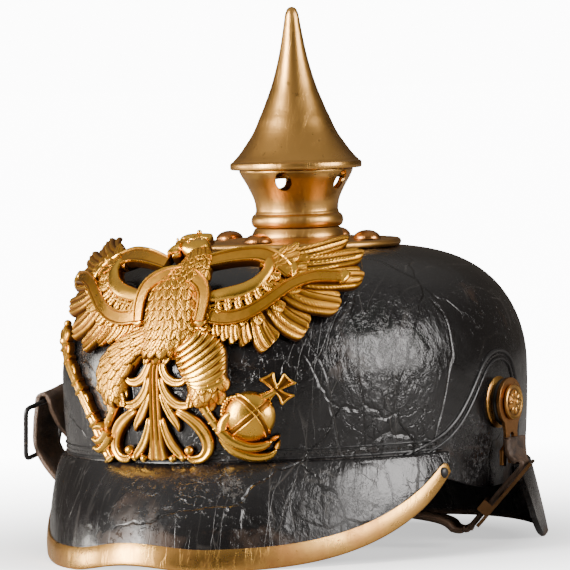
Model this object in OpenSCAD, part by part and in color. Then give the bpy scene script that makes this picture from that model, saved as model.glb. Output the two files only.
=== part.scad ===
// Spiked leather helmet with a brass eagle plate, standing on its visor and neck guard.
// Units are millimetres. +Z is up, the front faces -Y, the wearer's left is +X.
// The origin is under the middle of the helmet's box, at the level of the table.

/* [Skull] */
// Width of the skull over the ears, outside
skull_w = 180; // [160:1:200]
// Length of the skull from front to back, outside
skull_l = 220; // [195:1:240]
// How far the skull's middle lies in front of the spike's axis
skull_fwd = 4; // [0:0.5:10]
// Thickness of the skull's leather
skull_wall = 3; // [2:0.1:4]
// Height of the skull's widest line
widest_z = 71; // [60:1:80]
// Height of the dome above the widest line
dome_h = 50.8; // [40:0.2:65]
// Fullness of the dome's shoulder
dome_full = 4.2; // [2.5:0.1:6]
// Height of the skull's lower edge at the ears
edge_z = 24; // [18:0.5:30]
// Radius of the air hole in the top of the skull
crown_hole_r = 17; // [10:0.5:20]

/* [Visors] */
// Thickness of the visor and neck guard leather
visor_t = 2.6; // [2:0.1:4]
// Height of the front visor's seam
visor_seam_z = 40.5; // [34:0.5:46]
// How far the front visor stands out at its middle
visor_out = 26; // [15:0.5:45]
// Rise of the front visor's edge at its middle
visor_arch = 3; // [0:0.5:6]
// Half angle that the front visor covers
visor_half = 73.5; // [60:0.5:80]
// Height of the neck guard's seam
guard_seam_z = 31; // [26:0.5:38]
// How far the neck guard stands out at the back
guard_out = 24; // [15:0.5:45]
// How far the neck guard stands out at the ears
guard_side = 8; // [3:0.5:12]
// Half angle that the neck guard covers
guard_half = 76; // [60:0.5:80]
// Width of the brass edge trim
trim_w = 8.2; // [5:0.1:12]
// Thickness of the brass edge trim
trim_t = 0.7; // [0.4:0.1:1.2]

/* [Spike] */
// Height of the spike above its neck
spike_h = 66.8; // [50:0.2:90]
// Radius of the spike's rim
rim_r = 27.1; // [22:0.1:32]
// Height of the neck above the base plate
neck_h = 27.4; // [24:0.2:34]
// Radius of the spike's rounded tip
tip_r = 2.4; // [1:0.1:4]
// Radius of the neck's narrow part
neck_r = 17.2; // [14:0.1:22]
// Wall of the neck
neck_wall = 1.4; // [1:0.1:2.5]
// How far the neck's bead stands out
bead_out = 1.7; // [0.8:0.1:3]
// Radius of the air holes in the neck
air_r = 3.5; // [2:0.1:5]
// Number of air holes in the neck
air_n = 5; // [3:1:8]
// Outer radius of the spike's hollow screw plug
plug_r = 15; // [12:0.5:16]
// Lift of the spike for one turn
screw_pitch = 2; // [1:0.1:3]

/* [Base plate] */
// Radius of the round base plate
base_r = 42.5; // [36:0.5:50]
// Thickness of the base plate's sheet
base_t = 1; // [0.6:0.1:2]
// Radius of the circle that the studs stand on
stud_ring_r = 32.5; // [26:0.5:38]
// Radius of a stud's head
stud_r = 5.8; // [4:0.1:7]
// Radius of a stud's shank
shank_r = 1.5; // [1:0.1:2.5]

/* [Side posts and strap] */
// Height of the side posts
post_z = 58; // [50:0.5:66]
// Distance of the side posts behind the spike's axis
post_y = 3; // [-5:0.5:12]
// Radius of a side post's shaft
post_r = 2; // [1.5:0.1:3]
// Radius of a side post's rosette head
rosette_r = 7.2; // [5:0.1:9]
// Outer radius of a strap lug's ring
lug_r = 10; // [8:0.1:12]
// Thickness of a strap lug
lug_t = 1.6; // [1:0.1:2.5]
// Radius of the dished washers
washer_r = 10.5; // [8:0.1:13]
// Width of the chin strap
strap_w = 16; // [12:0.5:22]
// Thickness of the chin strap
strap_t = 2.2; // [1.5:0.1:3.5]
// Angle that the wearer's left lug is turned forward
near_swing = 0; // [0:1:20]
// Angle that the wearer's right lug is turned forward
far_swing = 30; // [24:1:36]

/* [Rear spine] */
// Width of the rear spine at its top
spine_w = 13; // [9:0.5:18]
// Thickness of the rear spine
spine_t = 0.9; // [0.6:0.1:1.5]
// Travel of the air slide
slide_travel = 8; // [4:0.5:12]

/* [Plate] */
// How far the plate's sheet lies off the skull
plate_gap = 0.5; // [0.3:0.1:2]
// Thickness of the plate's sheet
plate_t = 1.1; // [0.6:0.1:2]
// Height of the relief on the eagle's breast
relief = 5.2; // [2:0.1:8]
// Number of feathers in a wing's outer row
wing_n = 13; // [9:1:16]
// Distance of the plate's posts from the middle
plate_post_x = 24; // [18:1:32]
// Height of the plate's posts
plate_post_z = 95; // [88:1:98]

/* [Lining] */
// Width of the sweatband
band_h = 24; // [18:1:26]
// Thickness of the sweatband
band_t = 1.4; // [1:0.1:2.5]
// Number of leather fingers in the lining
finger_n = 12; // [8:1:16]

/* [Clearances] */
// Clearance between the screw plug and its socket
run_gap = 0.05; // [0.02:0.01:0.1]
// Gap between moving flat faces
face_gap = 0.3; // [0.2:0.05:0.6]
// Depth that a riveted piece beds into the leather
bed = 0.3; // [0.1:0.05:0.5]

/* [Hidden] */
$fn = 72;
half_w = skull_w / 2;
half_l = skull_l / 2;
mid_y = -skull_fwd;
wall_taper = 0.07;
// Thickness of the wall at the ears, where the skull is narrower than it is long
side_wall = skull_wall * skull_w / skull_l;
// Heights of the base plate's top, of the neck's rim and of the spike's tip
base_top_z = widest_z + dome_h + 4;
rim_z = base_top_z + neck_h;
tip_z = rim_z + spike_h;
gold = [0.86, 0.66, 0.27];
brass = [0.74, 0.56, 0.25];
copper = [0.66, 0.40, 0.18];
black = [0.07, 0.06, 0.06];
brown = [0.26, 0.16, 0.10];
iron = [0.12, 0.12, 0.12];

// Fraction of the skull's full plan size at a height
function rho(z, h = dome_h) = z < widest_z
    ? 1 - wall_taper * pow((widest_z - z) / widest_z, 2)
    : pow(max(0, 1 - pow(min(1, (z - widest_z) / h), 2)), 1 / dome_full);
// Half width and half length of the skull at a height
function sx(z) = half_w * rho(z);
function sy(z) = half_l * rho(z);
// Point on the skull, a from the front towards +X in degrees, moved out by d in plan
function on_skull(a, z, d = 0) = [(sx(z) + d) * sin(a), mid_y - (sy(z) + d) * cos(a), z];
// Height of the dome over a point of the plan
function dome_z(x, y) = widest_z + dome_h * sqrt(max(0, 1 - pow(norm([x / half_w,
    (y - mid_y) / half_l]), dome_full)));

// Faces of a body swept through rings of n points at m stations
function strip(n, m, closed) = [for (j = [0 : closed ? m - 1 : m - 2], i = [0 : n - 1], k = [0, 1])
    let (a = j * n + i, b = j * n + (i + 1) % n,
         c = ((j + 1) % m) * n + (i + 1) % n, d = ((j + 1) % m) * n + i)
    k == 0 ? [a, d, c] : [a, c, b]];
function caps(n, m) = concat([[for (i = [0 : n - 1]) i]],
    [[for (i = [0 : n - 1]) (m - 1) * n + n - 1 - i]]);
function flat1(v) = [for (a = v, b = a) b];
module sweep(rings) {
    n = len(rings[0]);
    m = len(rings);
    polyhedron(points = flat1(rings), faces = concat(strip(n, m, false), caps(n, m)));
}
module loop(rings) {
    polyhedron(points = flat1(rings), faces = strip(len(rings[0]), len(rings), true));
}

// Point at a share t of a run of points
function along(p, t) = let (u = t * (len(p) - 1), i = min(floor(u), len(p) - 2), f = u - i)
    p[i] * (1 - f) + p[i + 1] * f;
// Smooth share
function ease(t) = t * t * (3 - 2 * t);

// Skull
// Stations of the profile: the wall in four steps, then the dome by angle
wall_zs = [12, 26, 41, 56];
dome_as = [0, 10, 20, 30, 38, 45, 52, 58, 64, 71, 79];
function skull_profile(d) = concat(
    [for (z = wall_zs) [half_l * rho(z) - d, z]],
    [for (a = dome_as) [(half_l - d) * pow(cos(a), 2 / dome_full),
                        widest_z + (dome_h - d) * sin(a)]],
    [[crown_hole_r, widest_z + (dome_h - d) * sqrt(1 - pow(crown_hole_r / half_l, dome_full))]]);
function rev(v) = [for (i = [len(v) - 1 : -1 : 0]) v[i]];
function lower_edge(y) = edge_z + (y < 0 ? 10 * ease(min(1, -y / 60)) : 3 * ease(min(1, y / 60)));

// Lower edge at a degrees round from the front
function edge_at(a) = lower_edge(mid_y - half_l * cos(a));
function skull_pt(a, q) = [q[0] * skull_w / skull_l * sin(a), mid_y - q[0] * cos(a), q[1]];
// Ring round the wall's section: up the inside, down the outside
function wall_section(a) = let (
    zs = [for (k = [0 : 3]) edge_at(a) * (1 - k / 4) + widest_z * k / 4],
    top = [for (q = skull_profile(0)) if (q[1] >= widest_z) q])
    concat([for (z = zs) skull_pt(a, [half_l * rho(z) - skull_wall, z])],
           [for (q = skull_profile(skull_wall)) if (q[1] >= widest_z) skull_pt(a, q)],
           [for (q = rev(top)) skull_pt(a, q)],
           [for (z = rev(zs)) skull_pt(a, [half_l * rho(z), z])]);

module skull_shell() color(black) placed() difference() {
    loop([for (k = [0 : 39]) wall_section(k * 9)]);
    // holes for the side posts, the plate's posts and the base studs
    translate([0, post_y, post_z]) rotate([0, 90, 0])
        cylinder(r = post_r, h = skull_w + 20, center = true);
    for (s = [-1, 1]) translate([s * plate_post_x, -half_l - 10, plate_post_z])
        rotate([-90, 0, 0]) cylinder(r = 1.5, h = 60);
    for (a = [0 : 90 : 270]) rotate(a) translate([stud_ring_r, 0, widest_z + dome_h - 12])
        cylinder(r = shank_r, h = 30);
}

// Front visor, with its leather edge inside the brass trim
function visor_edge_z(a) = let (u = abs(a)) u < 20 ? visor_arch * pow(cos(u * 4.5), 2)
    : 33 * pow((u - 20) / (visor_half - 20), 3);
function visor_drop(a) = visor_seam_z - visor_edge_z(a) - trim_t;
// Point of the visor's outer face, v from the seam down to the edge, moved out by d
function visor_pt(a, v, d = 0) = let (
    out = 0.35 * v + 0.65 * sin(90 * v), fall = 0.5 * v + 0.5 * (1 - cos(90 * v)),
    e = 3 * sin(abs(a)) * min(1, visor_drop(a) / 20), o = visor_t + d)
    [(sx(visor_seam_z) + e * out + o) * sin(a),
     mid_y - (sy(visor_seam_z) + visor_out * pow(cos(a), 1.5) * out + o) * cos(a),
     visor_seam_z - visor_drop(a) * fall];
// The inner face drops a little where the visor bends away from the skull
function visor_in(a, v, d = 0) = visor_pt(a, v, -visor_t - d)
    - [0, 0, (visor_t + d) * (1 - v) * 0.8 * min(1, visor_drop(a) / 25)];
function visor_ring(a) = concat(
    [for (v = [1, 0.8, 0.6, 0.4, 0.2, 0]) visor_in(a, v)],
    [visor_pt(a, 0, -visor_t) + [0, 0, 0.5], visor_pt(a, 0, -0.6) + [0, 0, 0.5]],
    [for (v = [0, 0.1, 0.25, 0.45, 0.7, 1]) visor_pt(a, v)]);
visor_as = [for (i = [0 : 24]) -visor_half + i * visor_half / 12];

module front_visor() color(black) placed() sweep([for (a = visor_as) visor_ring(a)]);

// Brass trim folded round the visor's edge
function trim_top(a) = max(0.03, 1 - trim_w / (1.3 * visor_drop(a)));
function trim_ring(a) = let (v = trim_top(a), m = (1 + v) / 2, u = (3 + v) / 4) [
    visor_in(a, 1, trim_t) - [0, 0, trim_t], visor_in(a, u, trim_t), visor_in(a, u),
    visor_in(a, 1), visor_pt(a, 1), visor_pt(a, m), visor_pt(a, v), visor_pt(a, v, trim_t),
    visor_pt(a, m, trim_t), visor_pt(a, 1, trim_t), visor_pt(a, 1, trim_t) - [0, 0, trim_t]];
module front_trim() color(brass) placed() sweep([for (a = visor_as) trim_ring(a)]);

// Rivets through the ends of the trim, with their heads outside and inside
module along_skull(a, z) {
    q = on_skull(a, z);
    n = [sin(a) / half_w, -cos(a) / half_l];
    translate(q) rotate([0, 0, atan2(n[1], n[0])]) rotate([0, 90, 0]) children();
}
module dome_head(r, h) rotate_extrude() polygon(concat([[0, 0]],
    [for (t = [0 : 15 : 90]) [r * cos(t), h * sin(t)]]));
module trim_rivets() color(brass) placed() for (s = [-1, 1]) along_skull(s * (visor_half - 2), 37.4) {
    translate([0, 0, visor_t + trim_t - 0.2]) dome_head(2, 1);
    translate([0, 0, 0.1 - side_wall]) cylinder(r = 0.9, h = side_wall + visor_t + trim_t - 0.1);
    translate([0, 0, 0.1 - side_wall]) cylinder(r = 2.2, h = 0.9);
}

// Neck guard, a from the back
function guard_edge_z(a) = let (u = abs(a)) u < 66 ? 0 : 9 * pow((u - 66) / 10, 2);
function guard_pt(a, v, d = 0) = let (out = 0.8 * v + 0.2 * sin(90 * v), o = visor_t + d,
    s = pow(sin(a), 2), c = pow(cos(a), 2))
    [(sx(guard_seam_z) + guard_side * s * out + o) * sin(a),
     mid_y + (sy(guard_seam_z) + guard_out * c * out + guard_side * 0.4 * s * out + o) * cos(a),
     guard_seam_z - (guard_seam_z - guard_edge_z(a)) * v];
function guard_ring(a) = concat(
    [for (v = [1, 0.66, 0.33, 0]) guard_pt(a, v, -visor_t)],
    [guard_pt(a, 0, -visor_t) + [0, 0, 0.5], guard_pt(a, 0, -0.6) + [0, 0, 0.5]],
    [for (v = [0, 0.33, 0.66, 1]) guard_pt(a, v)]);
module neck_guard() color(black) placed()
    sweep([for (i = [0 : 26]) guard_ring(guard_half - i * guard_half / 13)]);

// Flat band along points with widths, its face turned to n or its width along w
function unit(v) = v / norm(v);
function way(p, i) = unit(p[min(i + 1, len(p) - 1)] - p[max(i - 1, 0)]);
function ribbon_ring(p, i, w, dir, t, face) = let (
    T = way(p, i), W = face ? unit(cross(dir, T)) : unit(dir - (dir * T) * T), N = cross(T, W),
    a = W * w / 2, b = N * t / 2)
    [p[i] - a - b, p[i] + a - b, p[i] + a + b, p[i] - a + b];
module ribbon(p, w, dir, t, face = false) sweep([for (i = [0 : len(p) - 1])
    ribbon_ring(p, i, w[min(i, len(w) - 1)], is_list(dir[0]) ? dir[i] : dir, t, face)]);

// Stitched edge of the leather lobes round the side posts: place along Y and height
lobe_line = [[-57, 40], [-50, 42.5], [-43, 45], [-36, 48], [-30, 52], [-25, 56.5], [-20, 62], [-15, 68],
    [-10, 73.5], [-4, 77.3], [3, 78.8], [10, 78], [16, 75], [20, 70], [22.5, 64], [24, 57],
    [25, 49], [25, 41], [24, 34]];
function side_pt(y, z, d = 0) = on_skull(acos((mid_y - y) / sy(z)), z, d);
module side_lobes() color(black) placed() for (s = [0, 1]) mirror([s, 0, 0])
    ribbon([for (q = lobe_line) side_pt(q[0], q[1], 0.25)], [1.3], [1, 0, 0], 2.2);

// Spike, turned: share of height from rim to tip against radius
seat_z = rim_z + face_gap;
spike_shape = [[0, 1], [0.022, 1.0], [0.044, 0.985], [0.056, 0.945], [0.075, 0.9], [0.113, 0.823],
    [0.16, 0.742], [0.21, 0.66], [0.26, 0.595], [0.315, 0.538], [0.365, 0.482], [0.42, 0.428],
    [0.5, 0.352], [0.58, 0.29], [0.66, 0.238], [0.74, 0.194], [0.82, 0.158], [0.9, 0.125],
    [0.955, 0.104]];
module spike() color(brass) placed() difference() {
    rotate_extrude() polygon(concat([[0, seat_z]],
        [for (q = spike_shape) [q[1] * rim_r, seat_z + q[0] * (tip_z - seat_z)]],
        [for (t = [20 : 20 : 90]) [tip_r * cos(t), tip_z - tip_r + tip_r * sin(t)]]));
    // bore that turns on the plug
    translate([0, 0, seat_z - 1]) cylinder(r = plug_r + run_gap, h = 6);
    // hollow above the plug, and the groove inside the rim
    translate([0, 0, seat_z + 4]) cylinder(r1 = plug_r - 2, r2 = 5, h = 16);
    translate([0, 0, seat_z - 1]) rotate_extrude() polygon([[plug_r + 2, 0], [rim_r - 2.2, 0],
        [rim_r - 2.2, 2.6], [plug_r + 2, 4.5]]);
}
// Hollow plug: its lower part screws into the neck, its upper part is in the spike
socket_h = 3.4;
module spike_plug() color(brass) placed() translate([0, 0, rim_z - socket_h]) difference() {
    cylinder(r = plug_r, h = socket_h + 5);
    translate([0, 0, -1]) cylinder(r = plug_r - 2.5, h = socket_h + 8);
}

// Neck with bead, foot ring, air holes and the plug's socket
neck_out = [[0, 1.1], [0.125, 1.02], [0.135, 0.985], [0.15, 1.03], [0.19, 1.082], [0.24, 1.1],
    [0.3, 1.09], [0.345, 1.05], [0.375, 0.995], [0.39, 0.985], [0.45, 0.99], [0.53, 1.012],
    [0.6, 1.05], [0.67, 1.1], [0.75, 1.165], [0.83, 1.24], [0.9, 1.305], [1, 1.375]];
module spike_neck() color(brass) placed() difference() {
    rotate_extrude() polygon(concat(
        [for (q = neck_out) [q[1] * neck_r + (abs(q[0] - 0.24) < 0.09 ? bead_out - 1.7 : 0),
                             base_top_z + q[0] * neck_h]],
        [[plug_r + run_gap, rim_z], [plug_r + run_gap, rim_z - socket_h],
         [neck_r * 1.27 - neck_wall, rim_z - socket_h]],
        [for (q = rev(neck_out)) if (q[0] < 0.85)
            [q[1] * neck_r - neck_wall, base_top_z + q[0] * neck_h]]));
    for (k = [0 : air_n - 1]) rotate(k * 360 / air_n - 74.6)
        translate([0, 0, base_top_z + 0.735 * neck_h]) rotate([0, 82, 0])
            translate([0, 0, neck_r - 6]) cylinder(r = air_r, h = 20);
}

// Round base plate with a rolled rim, resting on the dome
plate_rim_z = widest_z + dome_h - 0.7;
module base_plate() color(brass) placed() difference() {
    rotate_extrude() polygon(concat(
        [[12, base_top_z], [neck_r, base_top_z], [base_r * 0.66, base_top_z - 0.7],
         [base_r * 0.85, base_top_z - 1.7], [base_r - 3.2, base_top_z - 2.5]],
        [for (t = [110 : -20 : -90]) [base_r - 1.6 + 1.6 * cos(t), plate_rim_z + 1.6 + 1.6 * sin(t)]],
        [[base_r - 3.4, plate_rim_z + 1], [base_r * 0.85, base_top_z - 1.7 - base_t],
         [base_r * 0.66, base_top_z - 0.7 - base_t], [12, base_top_z - base_t]]));
    for (a = [0 : 90 : 270]) rotate(a) translate([stud_ring_r, 0, widest_z])
        cylinder(r = shank_r, h = 80);
}
// Split studs: domed head, shank and two legs bent out under the skull
stud_z = base_top_z - 1.35;
leg_z = widest_z + dome_h - skull_wall - 2.2;
module base_studs() color(copper) placed() for (a = [0 : 90 : 270]) rotate(a)
    translate([stud_ring_r, 0, 0]) {
        translate([0, 0, stud_z]) dome_head(stud_r, stud_r * 0.62);
        translate([0, 0, leg_z]) cylinder(r = shank_r, h = stud_z - leg_z + 0.5);
        for (s = [-1, 1]) translate([0, s * 3, leg_z + 0.4]) cube([2.4, 6, 0.8], center = true);
    }
// Leather disc between the base plate and the dome
module base_leather() color(brown) placed() translate([0, 0, widest_z + dome_h + 0.1]) difference() {
    cylinder(r = stud_ring_r - 4, h = 1.6);
    translate([0, 0, -1]) cylinder(r = crown_hole_r, h = 5);
}

// Side posts, on both sides, along X
post_x = sx(post_z) * sqrt(1 - pow((post_y - mid_y) / sy(post_z), 2));
washer_x = post_x - bed;
spacer_x = washer_x + 2.3;
lug_x = spacer_x + 2.2 + face_gap;
head_x = lug_x + lug_t + face_gap;
module at_posts() for (s = [0, 1]) mirror([s, 0, 0])
    translate([0, post_y, post_z]) rotate([0, 90, 0]) children();
module side_washers() color(brass) placed() at_posts() translate([0, 0, washer_x]) rotate_extrude()
    polygon([[post_r, 0], [washer_r - 0.8, 0], [washer_r, 0.5], [washer_r - 0.3, 1.1],
             [washer_r - 1.5, 1.5], [washer_r - 2.6, 2.3], [post_r, 2.3]]);
module side_spacers() color(black) placed() at_posts() translate([0, 0, spacer_x]) rotate_extrude()
    polygon([[post_r, 0], [washer_r - 1.3, 0], [washer_r - 0.9, 0.6], [washer_r - 0.9, 1.6],
             [washer_r - 1.4, 2.2], [post_r, 2.2]]);
// Post: rosette head, shaft, washer and bent legs inside the skull
module side_posts() color(brass) placed() at_posts() {
    translate([0, 0, head_x]) rotate_extrude() polygon([[0, 0], [rosette_r - 0.5, 0],
        [rosette_r, 0.5], [rosette_r, 1.2], [rosette_r - 0.9, 1.7], [rosette_r - 1.8, 1.5],
        [rosette_r - 2.6, 2.1], [rosette_r - 3.8, 2.9], [1.6, 3.3], [0, 3.3]]);
    translate([0, 0, post_x - skull_wall - 2.3]) cylinder(r = post_r, h = head_x - post_x + skull_wall + 2.5);
    translate([0, 0, post_x - skull_wall - 1.6]) cylinder(r = 6, h = 1.1);
    for (q = [-1, 1]) translate([0, q * 4, post_x - skull_wall - 1.9]) cube([2.6, 8, 0.8], center = true);
}

// Strap lugs, each turned about its post
module lug_shape() difference() {
    union() {
        circle(r = lug_r);
        polygon([[-6.5, -6], [6.5, -6], [4.6, -12], [5.2, -17], [8.4, -19], [8.6, -25], [5.6, -25.6],
            [5, -22.4], [1.8, -21.6], [1.4, -24.6], [-1.4, -24.6], [-1.8, -21.6], [-5, -22.4],
            [-5.6, -25.6], [-8.6, -25], [-8.4, -19], [-5.2, -17], [-4.6, -12]]);
    }
    circle(r = post_r + run_gap);
    translate([0, -14]) circle(r = 1.9);
    polygon([[-1.5, -15], [1.5, -15], [0, -18.5]]);
}
module lug_at(s, swing) translate([s * lug_x, post_y, post_z]) rotate([swing, 0, 0])
    mirror([s < 0 ? 1 : 0, 0, 0]) rotate([90, 0, 90]) linear_extrude(lug_t) lug_shape();
module strap_lugs() color(brass) placed() {
    lug_at(1, -near_swing);
    lug_at(-1, -far_swing);
}

// Chin strap: from the near lug down a sloping run, across under the skull and up to the far lug
run_tilt = 48.4;
run_turn = 23.6;
run_dir = [-cos(run_tilt) * cos(run_turn), -cos(run_tilt) * sin(run_turn), -sin(run_tilt)];
run_top = [lug_x + lug_t + strap_t / 2 + 3.3, post_y, 32.5];
function on_run(t) = run_top + run_dir * t;
strap_x = lug_x + lug_t + strap_t / 2 + 0.05;
strap_near = [[strap_x, post_y, 44], [strap_x, post_y, 40], [strap_x + 0.5, post_y, 37],
    [strap_x + 1.7, post_y, 34.6], on_run(0), on_run(8), on_run(16), on_run(24), on_run(31),
    on_run(34) + [0, 0, 0.9], [on_run(34)[0] - 12.4, -9, 7.2]];
strap_mid = [[30, -12.5, 7], [0, -14.4, 7]];
// The far run is set out from the far lug's face: x outwards
far_x = lug_x + lug_t + strap_t / 2 + 0.15;
function far_pts(v) = [for (q = v) [-far_x - q[0], q[1], q[2]]];
strap_far = concat([[-40, -17, 7.2], [-66, -18.6, 8]], far_pts([
    [-15.95, -20, 11.4], [-5.95, -21.6, 18], [1.05, -23.6, 25.5], [7.55, -26, 34], [11.25, -26.6, 41.5],
    [11.65, -26.2, 49], [11.25, -25.4, 55.8], [10.75, -24.8, 60.8], [8.45, -24.6, 62.9],
    [6.15, -24.2, 61.4], [5.25, -23.4, 57.4], [3.65, -20.4, 51.6], [1.05, -15.2, 45.6], [0.15, -10.4, 41],
    [0, -6.4, 37.2]]));
strap_pts = concat(strap_near, strap_mid, strap_far);
run_w = [-sin(run_turn), cos(run_turn), 0];
strap_dirs = concat([for (t = [0, 0, 0.1, 0.45]) [0, 1, 0] * (1 - t) + run_w * t],
    [for (k = [0 : 5]) run_w], [[-0.2, 1, 0], [-0.08, 1, 0], [-0.06, 1, 0]], [[-0.04, 1, 0], [0, 1, 0],
    [0.05, 1, 0.02], [0.1, 1, 0.08], [0.1, 1, 0.12], [0.08, 1, 0.16], [0.06, 1, 0.19], [0.06, 1, 0.19],
    [0.06, 1, 0.19], [0.06, 1, 0.19], [0.06, 1, 0.19], [0.06, 1, 0.22], [0.06, 1, 0.35], [0.05, 1, 0.6],
    [0.02, 1, 0.8], [0, 1, 1], [0, 1, 1]]);
module chin_strap() color(brown) placed() ribbon(strap_pts, [strap_w], strap_dirs, strap_t);

// Slider buckle on the sloping run: a flat frame in front and a keeper bar behind the strap
buckle_l = 33.4;
slot_w = strap_w + 2 * face_gap;
keeper_at = -9;
module near_buckle() color(brass) placed() translate(on_run(13.1)) rotate([0, -run_tilt, run_turn]) {
    translate([0, 0, -strap_t / 2 - face_gap - 1.4]) linear_extrude(1.4) difference() {
        square([buckle_l, slot_w + 4.4], center = true);
        for (s = [-1, 1]) translate([s * (buckle_l / 4 - 0.6), 0])
            square([buckle_l / 2 - 4.4, slot_w], center = true);
    }
    translate([keeper_at, 0, 0.15]) difference() {
        cube([5, slot_w + 2.4, strap_t + 2 * face_gap + 2.3], center = true);
        translate([0, 0, -0.1]) cube([7, slot_w, strap_t + 2 * face_gap - 0.1], center = true);
    }
}

// Wire buckle where the strap's far end turns over, a bent loop with rounded corners
wire_r = 1;
wire_c = far_pts([[14.65, -12.5, 39.5], [14.65, -37.6, 35.2], [9.55, -44.5, 56.6], [8.05, -15.4, 61.8]]);
wire_path = [for (k = [0 : 3], t = [-1 : 1]) let (c = wire_c[k], b = unit(wire_c[(k + 3) % 4] - c),
    f = unit(wire_c[(k + 1) % 4] - c)) c + (t < 0 ? b * 3 : t > 0 ? f * 3 : (b + f) * 0.9)];
wire_n = unit(cross(wire_c[1] - wire_c[0], wire_c[2] - wire_c[1]));
module far_buckle() color(iron) placed() let (n = len(wire_path)) loop([for (k = [0 : n - 1])
    let (T = unit(wire_path[(k + 1) % n] - wire_path[(k + n - 1) % n]), N = cross(T, wire_n))
    [for (t = [315 : -45 : 0]) wire_path[k] + (N * cos(t) + wire_n * sin(t)) * wire_r]]);

// Rear spine, from the base plate down the back to the neck guard's edge
spine_pts = concat([for (a = rev([for (a = dome_as) if (a < 75) a]))
        [0, mid_y + half_l * pow(cos(a), 2 / dome_full), widest_z + dome_h * sin(a)]],
    [for (z = [60, 50, 41, guard_seam_z + 0.6]) [0, mid_y + sy(z), z]],
    [for (v = [0, 0.33, 0.66, 0.95]) guard_pt(0, v)]);
spine_ws = [for (i = [0 : len(spine_pts) - 1]) let (t = i / (len(spine_pts) - 1))
    t > 0.75 ? 9 + 34 * (t - 0.75) : spine_w - (spine_w - 9) * t / 0.75];
module rear_spine() color(brass) placed() let (p = spine_pts)
    ribbon([for (i = [0 : len(p) - 1]) let (T = way(p, i)) p[i] + [0, -T[2], T[1]] * (spine_t / 2 - 0.05)],
        spine_ws, [1, 0, 0], spine_t);

// Air slide: a tray on the spine and a plate with a knob that slides in it
slide_a = 30;
slide_y = mid_y + half_l * pow(cos(slide_a), 2 / dome_full);
slide_z = widest_z + dome_h * sin(slide_a);
slide_tilt = atan2(half_l * 2 / dome_full * pow(cos(slide_a), 2 / dome_full - 1) * sin(slide_a),
    dome_h * cos(slide_a));
module at_slide() translate([0, slide_y, slide_z]) rotate([slide_tilt, 0, 0])
    translate([0, spine_t - 0.15, 0]) children();
module vent_frame() color(brass) placed() at_slide() difference() {
    translate([-spine_w / 2 - 1.5, 0, -11]) cube([spine_w + 3, 3, 22]);
    translate([-spine_w / 2 - 0.3, 0.8, -12]) cube([spine_w + 0.6, 1.2, 24]);
    translate([-spine_w / 2 + 1, 0.8, -12]) cube([spine_w - 2, 4, 24]);
    translate([-2.5, -1, -8]) cube([5, 4, 9]);
}
module vent_slide() color(brass) placed() at_slide() translate([0, 0, 1 - slide_travel / 2]) {
    translate([-spine_w / 2, 0.9, -4.6]) cube([spine_w, 1, 9.2]);
    translate([0, 1.8, 0]) rotate([-90, 0, 0]) rotate_extrude()
        polygon([[0, 0], [1.4, 0], [1.4, 1.4], [2.4, 2], [2.4, 2.6], [1.6, 3.2], [0, 3.4]]);
}
// Rivets that hold the spine to the skull
module spine_rivets() color(brass) placed() for (k = [3, 10]) let (q = spine_pts[k], d = way(spine_pts, k))
    translate(q) rotate([atan2(d[1], -d[2]), 0, 0]) rotate([-90, 0, 0]) {
        translate([0, 0, spine_t - 0.3]) dome_head(2.2, 1.2);
        translate([0, 0, -skull_wall - 0.9]) cylinder(r = 1, h = skull_wall + spine_t + 0.9);
        translate([0, 0, -skull_wall - 0.8]) cylinder(r = 2.4, h = 0.8);
    }

// Eagle plate. Its sheet follows a fuller dome than the skull's, so it stands off at the top.
plate_h = dome_h + 13.2;
function plate_f(z) = z < widest_z ? rho(z)
    : pow(1 - pow(min(0.97, (z - widest_z) / plate_h), 2), 1 / (dome_full + 0.7));
function sheet(x, z) = let (f = plate_f(z), g = plate_gap) [x, mid_y - (half_l * f + g)
    * sqrt(max(0.02, 1 - pow(x / (half_w * f + g), 2))), z];
function lay(p, n) = let (a = sheet(p[0], p[1]), u = sheet(p[0] + 0.5, p[1]) - a,
    v = sheet(p[0], p[1] + 0.5) - a) a + n * unit(cross(u, v));
function side_of(c, i) = let (d = way(c, i)) [-d[1], d[0]];
// Leaf along a line on the sheet: half widths w, ridge height h, rising from height b
function leaf_ring(c, i, w, h, b) = let (q = c[i], s = side_of(c, i) * w) [
    lay(q + s, 0), lay(q + s, b), lay(q, b + h), lay(q - s, b), lay(q - s, 0)];
module leaf(c, w, h, b = plate_t) sweep([for (i = [0 : len(c) - 1])
    leaf_ring(c, i, w[i], h * (i == len(c) - 1 ? 0.35 : 1), b)]);
// Feather from root to tip, bent a little, its widest place near the tip
module feather(a, z, w, h, b = plate_t, bend = 1.2) {
    d = unit(z - a);
    n = [d[1], -d[0]];
    leaf([a, a * 0.45 + z * 0.55 + n * bend, a * 0.12 + z * 0.88 + n * bend * 0.5, z],
        [w * 0.75, w, w * 0.9, w * 0.35], h, b);
}
// Ribbon raised above the relief, with turned edges
module band(c, w, b) sweep([for (i = [0 : len(c) - 1]) let (q = c[i], s = side_of(c, i)) [
    lay(q + s * w, 0), lay(q + s * w, b + 0.6), lay(q + s * (w - 0.7), b), lay(q - s * (w - 0.7), b),
    lay(q - s * w, b + 0.6), lay(q - s * w, 0)]]);
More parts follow.
